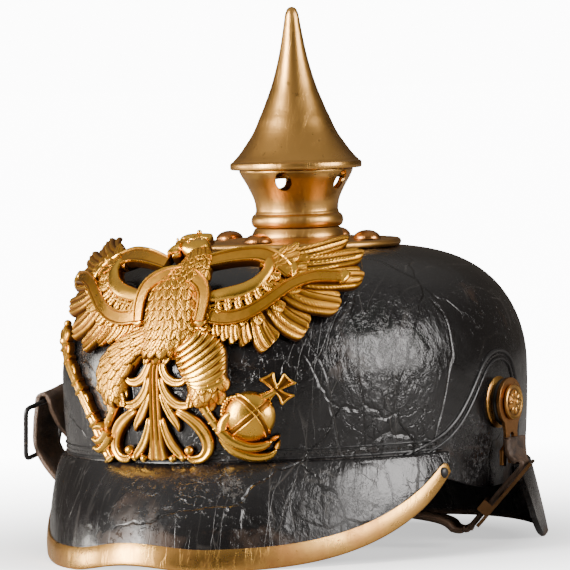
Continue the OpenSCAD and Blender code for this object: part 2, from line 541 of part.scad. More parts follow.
// Dome on the sheet: radius r, height h
module dome_on(p, r, h, n = 20) sweep([for (t = [0, 0.01, 30, 56, 80])
    [for (k = [0 : n - 1]) lay(p + r * cos(t) * [cos(k * 360 / n), sin(k * 360 / n)],
        t == 0 ? 0.03 * r : plate_t * 0.6 + (h - plate_t * 0.6) * sin(t))]]);
module bead(p, r, h) hull() dome_on(p, r, h, 6);
wing_tips = [[49, 126], [56.5, 124.5], [62, 120], [65.5, 113.5], [65.5, 106.5], [62.5, 100], [57, 94],
    [50.5, 90], [43.5, 87.2], [36.5, 86.6], [30, 88], [24.5, 90], [19.5, 91.5], [14.5, 93]];
wing_roots = [[30, 117], [34, 117.5], [39, 116.5], [43, 114], [45, 110.5], [44, 107], [41, 104],
    [37, 101.8], [33, 100.5], [29, 99.6], [25, 99], [21, 99], [17, 99.5], [13, 100]];
module wing() {
    for (k = [0 : wing_n - 1]) let (t = k / (wing_n - 1))
        feather(along(wing_roots, t), along(wing_tips, t), 37 / wing_n, 1.5);
    // short feathers on the wing's arm
    for (k = [0 : 5]) let (t = k / 5) feather(along([[22, 110], [30, 112.5], [36, 112], [36, 107],
        [26, 104], [14, 105]], t), along([[31, 119], [41, 117], [45, 110.5], [41, 104.5], [30, 100.5],
        [15, 100]], t), 3.6, 1.4, 1.6);
    leaf([[13, 105], [19, 106.5], [26, 108], [31.5, 111], [33, 115.5], [30, 118.5]],
        [4, 4, 4, 3.6, 3, 1.5], 2.2, 1.4);
    band([[12, 98.6], [18, 97.4], [24, 97.2], [30, 99], [36, 102.8], [41, 107], [46, 110.4],
        [52.5, 112], [60, 111.4]], 2.9, 3);
    band([[8, 119.4], [14, 121.4], [21, 122.6], [28, 122.2], [35, 119.4], [42.5, 114]], 2.5, 2.8);
}
module scrolls() {
    leaf([[2.5, 83], [5.6, 78], [9, 74.6], [12.6, 74.2], [14, 77]], [2, 2, 1.9, 1.5, 0.8], 1.4);
    leaf([[2.5, 77], [5.4, 70.5], [9, 66], [13.6, 65], [16.4, 68]], [2, 2.1, 2, 1.7, 0.8], 1.5);
    leaf([[2.5, 71], [5.5, 64], [9, 57.5], [10, 54.5]], [1.8, 2.2, 1.8, 0.6], 1.4);
    leaf([[7, 62], [12, 59], [17, 55.5], [20.4, 51], [20.4, 46.6], [17.6, 43.6], [13.8, 43.4], [12, 46],
        [14, 48]], [1.5, 2.2, 2.6, 2.6, 2.4, 2.1, 1.8, 1.5, 1], 1.7);
    leaf([[2, 60], [4.4, 53], [7.6, 47.5], [11, 44]], [1.4, 1.8, 2, 1.6], 1.5);
    bead([5.4, 43.2], 2, 3);
    bead([11.6, 43], 1.9, 3);
}
module leg() {
    leaf([[7, 91], [13, 86.5], [19, 80.5], [21.5, 74], [20.5, 69], [18, 66]], [5, 7.6, 9, 8, 5.6, 2.5], 3.4);
    for (k = [0 : 3]) feather([10.5 + 2.6 * k, 89 - 5 * k], [23 + 1.8 * k - 0.8 * k * k, 82 - 4.6 * k],
        3, 1.2, 3.1);
    leaf([[17, 69], [20, 63], [23.5, 57.5], [27.5, 52]], [2.4, 2, 1.9, 2.8], 2);
}
module claw() {
    leaf([[26, 53], [31, 50], [37, 48.6], [42.5, 50.6]], [2, 2, 1.8, 0.7], 2.6, 2.6);
    leaf([[26, 52], [31.5, 47], [37.5, 45.2], [42, 47]], [2.2, 2.2, 1.9, 0.7], 2, 1.6);
    leaf([[27, 52.5], [27, 58], [28, 63.5], [31, 67.5]], [2, 1.8, 1.6, 0.7], 2, 2);
}
module orb_and_cross() {
    dome_on([36.5, 59.3], 10.2, 6.4, 20);
    leaf([[40, 66], [45.5, 69.6]], [1.2, 1], 0.8);
    for (a = [30 : 90 : 300]) let (d = [cos(a), sin(a)])
        leaf([[46, 69.8] + d * 0.2, [46, 69.8] + d * 3, [46, 69.8] + d * 6], [1, 1.4, 2.9], 0.7, 1.2);
}
module sceptre() {
    leaf([[-23.5, 42], [-28, 49.5], [-33, 58], [-40, 67.5], [-48, 76.5], [-56, 84], [-60, 88]],
        [1.6, 2.2, 1.9, 1.9, 1.7, 1.6, 1.4], 1.4);
    leaf([[-58.5, 85], [-61, 88.5], [-63, 92], [-64.5, 96.5]], [1, 3, 2.4, 0.4], 1.6);
    for (q = [[-62, 87], [-25, 46], [-29, 51]]) bead(q, 2.2, 3.2);
}
module eagle_plate() color(gold) placed() {
    for (s = [0, 1]) mirror([s, 0, 0]) {
        wing();
        scrolls();
        leg();
    }
    claw();
    mirror([1, 0, 0]) leaf([[24, 54], [25.5, 50], [29.5, 47]], [2.4, 2.4, 0.8], 2, 2.6);
    leaf([[0, 87], [0, 92], [0, 98], [0, 104], [0, 110], [0.5, 115]], [7, 11, 13, 13.4, 11.5, 8], relief);
    for (k = [-1 : 1]) feather([k * 5, 91], [k * 8, 83 + abs(k)], 4, 1.4, 2.2);
    band([[-14, 98], [-14, 105], [-11.5, 110.6], [-6, 113.6], [0.5, 114.6], [7, 113.4], [12, 110],
        [14, 105], [14, 98]], 2.3, relief + 0.4);
    leaf([[1.5, 113], [3.5, 117], [2.6, 121], [-0.5, 123.6]], [6.6, 5.6, 4.6, 3], relief - 0.6);
    leaf([[2.5, 121.6], [-1, 123.4], [-4.4, 122.6], [-7, 120.4]], [3.4, 3.6, 2.2, 0.6], relief + 0.6);
    leaf([[-9, 125.2], [-3.5, 126.4], [2, 125.4]], [1.3, 1.4, 1.3], 2.2, 2.4);
    for (q = [[-7.4, 127], [-3.5, 128.4], [0.4, 127]]) bead(q, 2, 4.2);
    leaf([[0, 85], [0, 74], [0, 62], [0, 51], [0, 42.6]], [4, 2.4, 2.2, 3.4, 5], 2.4);
    sceptre();
    orb_and_cross();
}

// Posts soldered to the plate's back, and their nuts inside the skull
module at_plate_posts() for (s = [-1, 1]) translate([s * plate_post_x,
    sheet(plate_post_x, plate_post_z)[1], plate_post_z]) rotate([-90, 0, 0]) children();
module plate_posts() color(brass) placed() at_plate_posts() {
    translate([0, 0, -0.6]) cylinder(r = 1.5, h = 19);
    translate([0, 0, -0.6]) cylinder(r = 3, h = 1.2);
}
module plate_nuts() color(brass) placed() at_plate_posts() difference() {
    translate([0, 0, 14]) cylinder(r = 4, h = 2.6, $fn = 6);
    translate([0, 0, 10]) cylinder(r = 1.5, h = 10);
}

// Sweatband round the inside, and fingers drawn together by a cord
band_z = edge_z + 1;
function in_pt(a, z, d) = let (r = half_l * rho(max(z, edge_z)) - skull_wall - d)
    [r * skull_w / skull_l * sin(a), mid_y - r * cos(a), z];
module sweatband() color(brown) placed() loop([for (k = [0 : 39]) let (a = 9 * k, z = edge_at(a) + 1)
    [in_pt(a, z, band_t + 0.1), in_pt(a, z + band_h / 2, band_t + 0.1), in_pt(a, z + band_h, band_t + 0.1),
     in_pt(a, z + band_h, 0.1), in_pt(a, z + band_h / 2, 0.1), in_pt(a, z, 0.1)]]);
// Finger: share u of its length from the band up to the cord
function finger_pt(a, u, d) = let (z0 = edge_at(a) + band_h - 3, z = z0 + (102 - z0) * sin(90 * u * 0.97),
    r0 = half_l * rho(60) - skull_wall - band_t - 0.8,
    r = r0 * pow(cos(90 * u * 0.86), 0.55) - 1.5 * min(1, 5 * u) - d)
    [r * skull_w / skull_l * sin(a), mid_y - r * cos(a), z];
module liner_fingers() color(brown) placed() for (k = [0 : finger_n - 1]) let (a = (k + 0.5) * 360 / finger_n,
    h = 150 / finger_n) sweep([for (u = [0 : 0.2 : 1]) let (w = h * (u < 0.3 ? 1 : 1 - 0.45 * (u - 0.3)))
    [finger_pt(a - w, u, 1.2), finger_pt(a - w, u, 0), finger_pt(a, u, 0), finger_pt(a + w, u, 0),
     finger_pt(a + w, u, 1.2), finger_pt(a, u, 1.2)]]);
module liner_cord() color([0.75, 0.7, 0.6]) placed() let (n = finger_n * 2)
    loop([for (k = [0 : n - 1]) let (a = k * 360 / n, c = finger_pt(a, 0.985, 0.6), o = [sin(a), -cos(a), 0])
        [for (t = [300 : -60 : 0]) c + (o * cos(t) + [0, 0, 1] * sin(t)) * 1.3]]);

// Where the spike's axis stands, so that the origin is under the middle of the box
buckle_x = on_run(13.1)[0] + cos(run_tilt) * cos(run_turn) * buckle_l / 2
    + sin(run_turn) * (slot_w / 2 + 2.2) + sin(run_tilt) * cos(run_turn) * (strap_t / 2 + face_gap + 1.4);
axis_x = (far_x + 15.63 - buckle_x) / 2;
axis_y = -(visor_pt(0, 1, trim_t)[1] + guard_pt(0, 1)[1]) / 2;
module placed() translate([axis_x, axis_y, 0]) children();

skull_shell();
front_visor();
front_trim();
trim_rivets();
neck_guard();
side_lobes();
spike();
spike_plug();
spike_neck();
base_plate();
base_studs();
base_leather();
side_washers();
side_spacers();
side_posts();
strap_lugs();
chin_strap();
near_buckle();
far_buckle();
rear_spine();
vent_frame();
vent_slide();
spine_rivets();
eagle_plate();
plate_posts();
plate_nuts();
sweatband();
liner_fingers();
liner_cord();
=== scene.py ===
"""Looks of a spiked leather helmet: lacquered skull, turned spike, stamped eagle plate, strap and lining.

The lengths in the classes are millimetres in the frame of the CAD model, and meshes are written in metres.
"""

import logging
import math
from dataclasses import dataclass
from enum import Enum
from typing import Any, Callable, Iterator, Optional, Sequence

import bmesh
import bpy
from mathutils import Matrix, Vector


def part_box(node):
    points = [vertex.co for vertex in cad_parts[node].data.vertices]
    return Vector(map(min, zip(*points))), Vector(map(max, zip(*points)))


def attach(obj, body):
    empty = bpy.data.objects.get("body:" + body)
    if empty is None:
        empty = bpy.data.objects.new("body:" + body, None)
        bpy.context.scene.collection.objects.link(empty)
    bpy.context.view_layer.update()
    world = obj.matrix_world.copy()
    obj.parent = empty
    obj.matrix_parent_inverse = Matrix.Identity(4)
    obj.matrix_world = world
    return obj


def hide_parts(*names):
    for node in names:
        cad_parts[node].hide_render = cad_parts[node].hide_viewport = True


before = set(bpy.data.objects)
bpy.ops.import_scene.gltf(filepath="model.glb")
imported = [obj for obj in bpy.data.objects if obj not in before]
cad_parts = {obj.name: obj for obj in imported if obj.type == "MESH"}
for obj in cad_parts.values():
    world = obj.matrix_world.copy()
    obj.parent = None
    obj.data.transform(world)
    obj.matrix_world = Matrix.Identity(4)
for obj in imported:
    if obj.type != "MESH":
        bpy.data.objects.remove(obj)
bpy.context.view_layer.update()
SPIKE_LOW, SPIKE_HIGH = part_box("spike")

LOG = logging.getLogger("helmet")
MM = 0.001
AXIS = Vector(((SPIKE_LOW[0] + SPIKE_HIGH[0]) / 2, (SPIKE_LOW[1] + SPIKE_HIGH[1]) / 2, 0.0))
Pair = tuple[float, float]
Colour = tuple[float, float, float]
Place = Callable[[float, float], Vector]
Socket = bpy.types.NodeSocket
Verts = list[bmesh.types.BMVert]


class Body(Enum):
    """The moving bodies that a piece can ride on."""

    HELMET = "helmet"
    PLUG = "screw_plug"
    SPIKE = "spike"
    SLIDE = "air_slide"
    STRAP = "strap"
    SLIDER = "slider"


# ---------------------------------------------------------------- curves


def curve_at(values: Sequence[float], share: float) -> float:
    """Reads a smooth curve through evenly spaced values.

    Args:
        values: The values that the curve passes through.
        share: How far along, from 0 to 1.

    Returns:
        The value there.
    """
    last = len(values) - 1
    spot = min(max(share, 0.0), 1.0) * last
    i = min(int(spot), last - 1)
    f = spot - i
    a, b, c, d = values[max(i - 1, 0)], values[i], values[i + 1], values[min(i + 2, last)]
    return 0.5 * (2 * b + (c - a) * f + (2 * a - 5 * b + 4 * c - d) * f * f + (3 * b - a - 3 * c + d) * f**3)


def line_at(points: Sequence[Sequence[float]], share: float) -> Vector:
    """Point at a share along a smooth curve through points in the plane or in space."""
    return Vector([curve_at([p[k] for p in points], share) for k in range(len(points[0]))])


def way_at(points: Sequence[Sequence[float]], share: float, step: float = 0.02) -> Vector:
    """The way that a smooth curve runs at a share along it, read a step to both sides."""
    return (line_at(points, share + step) - line_at(points, share - step)).normalized()


def beside_way(way: Vector) -> Vector:
    """The way to the left of one in the plane."""
    return Vector((-way.y, way.x))


def rounded(way: float) -> float:
    """Height of a quarter circle over a share of its radius."""
    return math.sqrt(max(0.0, 1 - way * way))


def ease(share: float) -> float:
    """Smooth share, held between 0 and 1."""
    share = min(1.0, max(0.0, share))
    return share * share * (3 - 2 * share)


def bump_at(x: float, middle: float, width: float) -> float:
    """Bell of height 1 round a middle."""
    return math.exp(-(((x - middle) / width) ** 2))


def steps_of(count: int) -> list[float]:
    """Even shares from 0 to 1, one more than the count."""
    return [k / count for k in range(count + 1)]


def fan(half: float, count: int) -> list[float]:
    """Even angles from minus a half to plus it, one more than the count."""
    return [half * (2 * share - 1) for share in steps_of(count)]


def sized(x: float, y: float, z: float) -> Matrix:
    """Matrix that stretches a unit shape to lengths in millimetres."""
    return Matrix.Diagonal((x * MM, y * MM, z * MM, 1))


# ---------------------------------------------------------------- node trees


class Graph:
    """A hand for wiring one node tree."""

    def __init__(self, tree: bpy.types.NodeTree) -> None:
        """Starts on an empty tree."""
        self.tree = tree
        tree.nodes.clear()

    def add(self, kind: str, inputs: Optional[dict[Any, Any]] = None, **settings: Any) -> bpy.types.Node:
        """Adds a node and feeds its inputs.

        Args:
            kind: Type of the node.
            inputs: Socket name or number against a value or an output socket.
            **settings: Properties of the node.

        Returns:
            The node.
        """
        node = self.tree.nodes.new(kind)
        for key, value in settings.items():
            setattr(node, key, value)
        for key, value in (inputs or {}).items():
            self.feed(node.inputs[key], value)
        return node

    def feed(self, socket: Socket, value: Any) -> None:
        """Links an output to a socket, or sets the socket's own value.

        Args:
            socket: The input socket.
            value: An output socket or a plain value.
        """
        if isinstance(value, Socket):
            self.tree.links.new(value, socket)
        elif isinstance(value, tuple) and len(value) == 3 and socket.type == "RGBA":
            socket.default_value = (*value, 1.0)
        else:
            socket.default_value = value

    def math(self, operation: str, *values: Any, clamp: bool = False) -> Socket:
        """Runs one operation over values in a row and gives its output.

        Args:
            operation: The Math node's operation.
            *values: Values or sockets, one or more.
            clamp: Whether each result is held between 0 and 1.

        Returns:
            The last result.
        """
        total, *others = values
        for value in others or (0.5,):
            total = self.add("ShaderNodeMath", {0: total, 1: value}, operation=operation, use_clamp=clamp).outputs[0]
        return total

    def times(self, *values: Any, clamp: bool = False) -> Socket:
        """Multiplies values."""
        return self.math("MULTIPLY", *values, clamp=clamp)

    def plus(self, *values: Any, clamp: bool = False) -> Socket:
        """Adds values up."""
        return self.math("ADD", *values, clamp=clamp)

    def most(self, *values: Any) -> Socket:
        """Gives the largest of values."""
        return self.math("MAXIMUM", *values)

    def ramp(self, value: Any, low: float, high: float, start: float = 0.0, end: float = 1.0) -> Socket:
        """Maps a value from low..high to start..end, held at both ends."""
        ends = {"Value": value, "From Min": low, "From Max": high, "To Min": start, "To Max": end}
        return self.add("ShaderNodeMapRange", ends, clamp=True).outputs["Result"]

    def mix(self, factor: Any, a: Any, b: Any) -> Socket:
        """Mixes two colours and gives the output."""
        return self.add("ShaderNodeMix", {0: factor, 6: a, 7: b}, data_type="RGBA").outputs[2]

    def noise(self, vector: Any, scale: float, detail: float = 3.0, rough: float = 0.5) -> Socket:
        """Adds a noise texture and gives its value."""
        inputs = {"Vector": vector, "Scale": scale, "Detail": detail, "Roughness": rough}
        return self.add("ShaderNodeTexNoise", inputs).outputs["Fac"]

    def cracks(self, vector: Any, scale: float, width: float) -> Socket:
        """A net of thin lines, the borders of Voronoi cells."""
        cells = self.add("ShaderNodeTexVoronoi", {"Vector": vector, "Scale": scale}, feature="DISTANCE_TO_EDGE")
        return self.ramp(cells.outputs["Distance"], 0.0, width, 1.0, 0.0)

    def turn(self, vector: Any, scale: Colour, angles: Colour = (0.0, 0.0, 0.0)) -> Socket:
        """Scales and turns a vector for a pattern that lies one way."""
        return self.add("ShaderNodeMapping", {"Vector": vector, "Scale": scale, "Rotation": angles}).outputs["Vector"]

    def shift(self, operation: str, vector: Any, other: Any) -> Socket:
        """Adds a Vector Math node on two vectors and gives its vector."""
        return self.add("ShaderNodeVectorMath", {0: vector, 1: other}, operation=operation).outputs[0]

    def grow(self, vector: Any, factor: Any) -> Socket:
        """Scales a vector evenly."""
        return self.add("ShaderNodeVectorMath", {0: vector, "Scale": factor}, operation="SCALE").outputs[0]

    def warp(self, vector: Any, scale: float, amount: float) -> Socket:
        """Bends a vector by noise, so that lines on it wander.

        Args:
            vector: The vector.
            scale: Scale of the noise.
            amount: How far it is moved at most.

        Returns:
            The bent vector.
        """
        drift = self.add("ShaderNodeTexNoise", {"Vector": vector, "Scale": scale, "Detail": 3.0}).outputs["Color"]
        centred = self.shift("SUBTRACT", drift, (0.5, 0.5, 0.5))
        return self.shift("ADD", vector, self.grow(centred, amount))

    def attribute(self, name: str) -> Socket:
        """Reads a value that the mesh carries."""
        return self.add("ShaderNodeAttribute", attribute_name=name).outputs["Fac"]

    def place(self) -> Socket:
        """Object coordinates, in metres."""
        return self.add("ShaderNodeTexCoord").outputs["Object"]

    def near(self, vector: Any, spot: tuple[float, ...], share: float = 1.0) -> Socket:
        """A soft mask round a spot.

        Args:
            vector: The place that is looked at, in metres.
            spot: The spot's x, y, z and reach, in millimetres.
            share: Share of the reach that the mask takes up.

        Returns:
            The mask.
        """
        *middle, reach = [value * MM for value in spot]
        away = self.add("ShaderNodeVectorMath", {0: vector, 1: tuple(middle)}, operation="DISTANCE")
        return self.ramp(away.outputs["Value"], 0.35 * reach * share, reach * share, 1.0, 0.0)

    def bumps(self, *layers: tuple[Any, float, float]) -> Socket:
        """Chains Bump nodes.

        Args:
            *layers: Height, strength and distance of each.

        Returns:
            The last one's normal.
        """
        normal = {}
        for height, strength, distance in layers:
            inputs = {"Strength": strength, "Distance": distance, "Height": height, **normal}
            normal = {"Normal": self.add("ShaderNodeBump", inputs).outputs["Normal"]}
        return normal["Normal"]

    def close(self, sockets: dict[str, Any]) -> None:
        """Ends a material in a Principled shader with these sockets."""
        shader = self.add("ShaderNodeBsdfPrincipled", sockets)
        self.add("ShaderNodeOutputMaterial", {"Surface": shader.outputs[0]})


@dataclass(frozen=True)
class Effect:
    """A node group that several finishes share, made once. All take a vector and its scale."""

    name: str
    gives: dict[str, str]
    wire: Callable[[Graph, Socket, Any], dict[str, Any]]
    takes: tuple[tuple[str, str, Any], ...] = ()

    def tree(self) -> bpy.types.NodeTree:
        """The group's tree, built on its first use."""
        tree = bpy.data.node_groups.get(self.name)
        if tree:
            return tree
        tree = bpy.data.node_groups.new(self.name, "ShaderNodeTree")
        graph = Graph(tree)
        tree.interface.new_socket("Vector", in_out="INPUT", socket_type=VECTOR)
        for name, kind, value in (("Scale", FLOAT, 50.0), *self.takes):
            tree.interface.new_socket(name, in_out="INPUT", socket_type=kind).default_value = value
        for name, kind in self.gives.items():
            tree.interface.new_socket(name, in_out="OUTPUT", socket_type=kind)
        source = graph.add("NodeGroupInput").outputs
        graph.add("NodeGroupOutput", self.wire(graph, graph.grow(source["Vector"], source["Scale"]), source))
        return tree

    def put(self, graph: Graph, vector: Any, scale: float, **values: Any) -> Any:
        """Places the group in a material.

        Args:
            graph: The material's nodes.
            vector: Where it is read.
            scale: Its scale.
            **values: Its other inputs.

        Returns:
            The group's outputs.
        """
        return graph.add("ShaderNodeGroup", {"Vector": vector, "Scale": scale, **values}, node_tree=self.tree()).outputs


FLOAT, VECTOR, RGBA = "NodeSocketFloat", "NodeSocketVector", "NodeSocketColor"


def wire_scratches(g: Graph, at: Socket, _: Any) -> dict[str, Any]:
    """Fine straight scratches that run several ways and break off.

    Args:
        g: The group's nodes.
        at: The scaled vector.
        _: The group's inputs, not needed.

    Returns:
        What the group gives.
    """
    masks = []
    for angle, stretch in ((0.35, 9.0), (-0.7, 14.0), (1.3, 7.0)):
        lean = g.turn(g.warp(at, 0.7, 0.25), (stretch, 1.0, 1.0), (angle, angle * 0.7, angle * 1.3))
        masks.append(g.times(g.cracks(lean, 1.0, 0.03), g.ramp(g.noise(lean, 0.45, 1.0), 0.55, 0.62)))
    return {"Mask": g.most(*masks)}


def wire_crazing(g: Graph, at: Socket, source: Any) -> dict[str, Any]:
    """Cracks in lacquer: broken cells with a finer net between them.

    Args:
        g: The group's nodes.
        at: The scaled vector.
        source: The group's inputs.

    Returns:
        What the group gives.
    """
    wide = g.times(g.cracks(g.warp(at, 1.6, 0.45), 0.62, 0.016), g.ramp(g.noise(at, 0.5, 2.0), 0.48, 0.6))
    fine = g.times(g.cracks(g.warp(at, 5.0, 0.2), 4.4, 0.04), g.ramp(g.noise(at, 0.33, 2.0), 0.6, 0.7))
    return {"Mask": g.times(g.most(wide, fine), source["Amount"], clamp=True)}


def wire_grain(g: Graph, at: Socket, _: Any) -> dict[str, Any]:
    """Leather grain: pebbles with pores between them."""
    grooves = g.cracks(g.warp(at, 2.0, 0.3), 1.0, 0.3)
    return {"Height": g.plus(g.math("SUBTRACT", 1.0, grooves), g.times(g.noise(at, 3.5, 3.0, 0.6), 0.5))}


def wire_tarnish(g: Graph, at: Socket, source: Any) -> dict[str, Any]:
    """Metal that has dulled in clouds, with small dark specks.

    Args:
        g: The group's nodes.
        at: The scaled vector.
        source: The group's inputs.

    Returns:
        What the group gives.
    """
    cloud = g.ramp(g.noise(g.warp(at, 0.8, 0.5), 1.0, 5.0, 0.62), 0.36, 0.68)
    speck = g.ramp(g.noise(at, 9.0, 4.0, 0.7), 0.63, 0.7)
    dull = g.mix(g.times(cloud, source["Amount"], clamp=True), source["Bright"], source["Dull"])
    return {"Color": g.mix(g.times(speck, source["Amount"], clamp=True), dull, source["Dark"]), "Cloud": cloud}


def wire_turned(g: Graph, at: Socket, _: Any) -> dict[str, Any]:
    """Fine rings that a lathe leaves, one height all round the axis.

    Args:
        g: The group's nodes.
        at: The scaled vector.
        _: The group's inputs, not needed.

    Returns:
        What the group gives.
    """
    x, y, z = g.add("ShaderNodeSeparateXYZ", {0: at}).outputs
    radius = g.math("SQRT", g.plus(g.times(x, x), g.times(y, y)))
    path = g.add("ShaderNodeCombineXYZ", {0: g.plus(z, g.times(radius, 0.8))}).outputs[0]
    return {"Height": g.noise(path, 1.0, 2.0, 0.7)}


AMOUNT = ("Amount", FLOAT, 1.0)
METALS = tuple((name, RGBA, (0.5, 0.3, 0.15, 1.0)) for name in ("Bright", "Dull", "Dark"))
SCRATCHES = Effect("fine_scratches", {"Mask": FLOAT}, wire_scratches)
CRAZING = Effect("lacquer_crazing", {"Mask": FLOAT}, wire_crazing, (AMOUNT,))
GRAIN = Effect("leather_grain", {"Height": FLOAT}, wire_grain)
TURNED = Effect("turned_rings", {"Height": FLOAT}, wire_turned)
TARNISH = Effect("metal_tarnish", {"Color": RGBA, "Cloud": FLOAT}, wire_tarnish, (AMOUNT, *METALS))


# ---------------------------------------------------------------- finishes


@dataclass(frozen=True)
class Finish:
    """A surface finish. Its material is made on the first use."""

    name: str
    slot: str

    def material(self) -> bpy.types.Material:
        """The material, made once."""
        found = bpy.data.materials.get(self.name)
        if found:
            return found
        made = bpy.data.materials.new(self.name)
        made.use_nodes = True
        self.wire(Graph(made.node_tree))
        return made

    def wire(self, g: Graph) -> None:
        """Wires the material's nodes."""
        raise NotImplementedError


@dataclass(frozen=True)
class Lacquer(Finish):
    """Black lacquered leather, crazed, scuffed and worn brown at its edges."""

    black: Colour = (0.0052, 0.0047, 0.0049)
    brown: Colour = (0.05, 0.027, 0.015)
    scuff: Colour = (0.1, 0.092, 0.085)
    split: Colour = (0.003, 0.0025, 0.002)
    gloss: float = 0.19
    wear: float = 1.0
    folded: tuple[float, ...] = (74.0, -52.0, 93.0, 38.0)
    pitted: tuple[float, ...] = (89.9, -12.7, 40.1, 17.0)
    starred: tuple[float, ...] = (36.2, -109.6, 32.3, 6.0)
    crumpled: tuple[float, ...] = (65.1, -87.8, 23.9, 28.0)

    def wire(self, g: Graph) -> None:
        """Wires lacquer over leather.

        Args:
            g: The material's nodes.
        """
        here = g.place()
        crack = CRAZING.put(g, here, 34.0)["Mask"]
        scratch = SCRATCHES.put(g, here, 26.0)["Mask"]
        grain = GRAIN.put(g, here, 900.0)["Height"]
        cloud = g.noise(g.warp(here, 20.0, 0.02), 26.0, 6.0, 0.65)
        rub = g.ramp(g.plus(cloud, g.times(g.attribute("wear"), 0.3)), 0.62, 0.84)
        rub = g.times(rub, self.wear, clamp=True)
        streak = g.noise(g.turn(g.warp(here, 30.0, 0.012), (55.0, 55.0, 260.0)), 1.0, 4.0, 0.7)
        scuffs = g.times(g.ramp(streak, 0.62, 0.72), g.ramp(g.noise(here, 14.0, 3.0), 0.53, 0.66))
        spots = (self.folded, self.pitted, self.starred, self.crumpled)
        folded, pitted, starred, crumpled = (g.near(here, spot) for spot in spots)
        ripple = g.noise(g.turn(g.warp(here, 34.0, 0.016), (190.0, 190.0, 95.0), (0.5, 0.3, 0.2)), 1.0, 4.0, 0.62)
        broad = g.ramp(g.noise(here, 11.0, 2.0), 0.5, 0.7)
        spread = g.plus(g.times(broad, 0.25), folded, g.times(crumpled, 0.7), clamp=True)
        folds = g.times(g.ramp(ripple, 0.34, 0.64), spread)
        creases = g.cracks(g.warp(g.turn(here, (26.0, 26.0, 11.0), (0.7, 0.2, 0.0)), 1.1, 0.7), 1.0, 0.02)
        splits = g.most(crack, g.times(creases, g.near(here, self.folded, 2.2), 0.7))
        grit = g.times(pitted, g.ramp(g.noise(here, 520.0, 4.0, 0.75), 0.5, 0.62))
        pits = g.times(g.ramp(g.noise(here, 420.0, 3.0, 0.7), 0.58, 0.66), g.ramp(cloud, 0.5, 0.66))
        rays = g.times(starred, g.ramp(g.noise(g.warp(here, 300.0, 0.004), 640.0, 3.0, 0.8), 0.48, 0.56))
        nicks = g.times(g.cracks(g.warp(here, 60.0, 0.012), 120.0, 0.022), crumpled)
        nicks = g.times(nicks, g.ramp(g.noise(here, 130.0, 2.0), 0.5, 0.56))
        pale = g.most(rays, nicks, g.times(grit, 0.35))
        base = g.mix(rub, self.black, self.brown)
        for marks, strength in ((scuffs, 0.2), (scratch, 0.3), (pale, 0.7)):
            base = g.mix(g.times(marks, strength), base, self.scuff)
        base = g.mix(g.times(splits, 0.85), base, self.split)
        dull = g.ramp(g.noise(here, 38.0, 5.0, 0.7), 0.35, 0.75, self.gloss, self.gloss + 0.14)
        dull = g.plus(dull, g.times(g.most(rub, g.times(crumpled, 0.6)), 0.25))
        dull = g.plus(dull, g.times(g.most(scuffs, pale), 0.2), clamp=True)
        sink = g.plus(g.times(splits, -1.0), g.times(g.most(pits, grit), -0.7))
        normal = g.bumps(
            (g.noise(g.warp(here, 9.0, 0.03), 17.0, 3.0, 0.55), 0.5, 0.004),
            (g.noise(here, 120.0, 4.0, 0.6), 0.4, 0.0007),
            (folds, 0.7, 0.001),
            (sink, 0.8, 0.0006),
            (g.times(scratch, -1.0), 0.35, 0.0002),
            (grain, 0.14, 0.0001),
        )
        coat = {"Coat Weight": g.ramp(rub, 0.0, 1.0, 0.3, 0.04), "Coat Roughness": 0.16}
        g.close({"Base Color": base, "Roughness": dull, "Normal": normal, "Specular IOR Level": 0.5, **coat})


@dataclass(frozen=True)
class PlainLeather(Finish):
    """Leather without lacquer, with grain, creases across it and dark handling marks."""

    light: Colour = (0.12, 0.062, 0.032)
    dark: Colour = (0.028, 0.017, 0.012)
    dull: float = 0.52
    cracks: float = 0.8
    cells: float = 260.0

    def wire(self, g: Graph) -> None:
        """Wires creased leather.

        Args:
            g: The material's nodes.
        """
        here = g.place()
        grain = GRAIN.put(g, here, self.cells * 3.2)["Height"]
        crack = CRAZING.put(g, here, self.cells, Amount=self.cracks)["Mask"]
        cloud = g.noise(g.warp(here, 60.0, 0.01), 70.0, 5.0, 0.65)
        worn = tuple(min(1.0, c * 1.7) for c in self.light)
        base = g.mix(g.ramp(cloud, 0.38, 0.66), self.light, self.dark)
        base = g.mix(g.times(crack, 0.7), base, tuple(c * 0.35 for c in self.dark))
        base = g.mix(g.times(g.attribute("wear"), 0.5, clamp=True), base, worn)
        rough = g.ramp(cloud, 0.3, 0.7, self.dull - 0.12, self.dull + 0.18)
        normal = g.bumps((cloud, 0.5, 0.0014), (g.times(crack, -1.0), 1.0, 0.0006), (grain, 0.4, 0.0002))
        g.close({"Base Color": base, "Roughness": rough, "Normal": normal, "Specular IOR Level": 0.4})


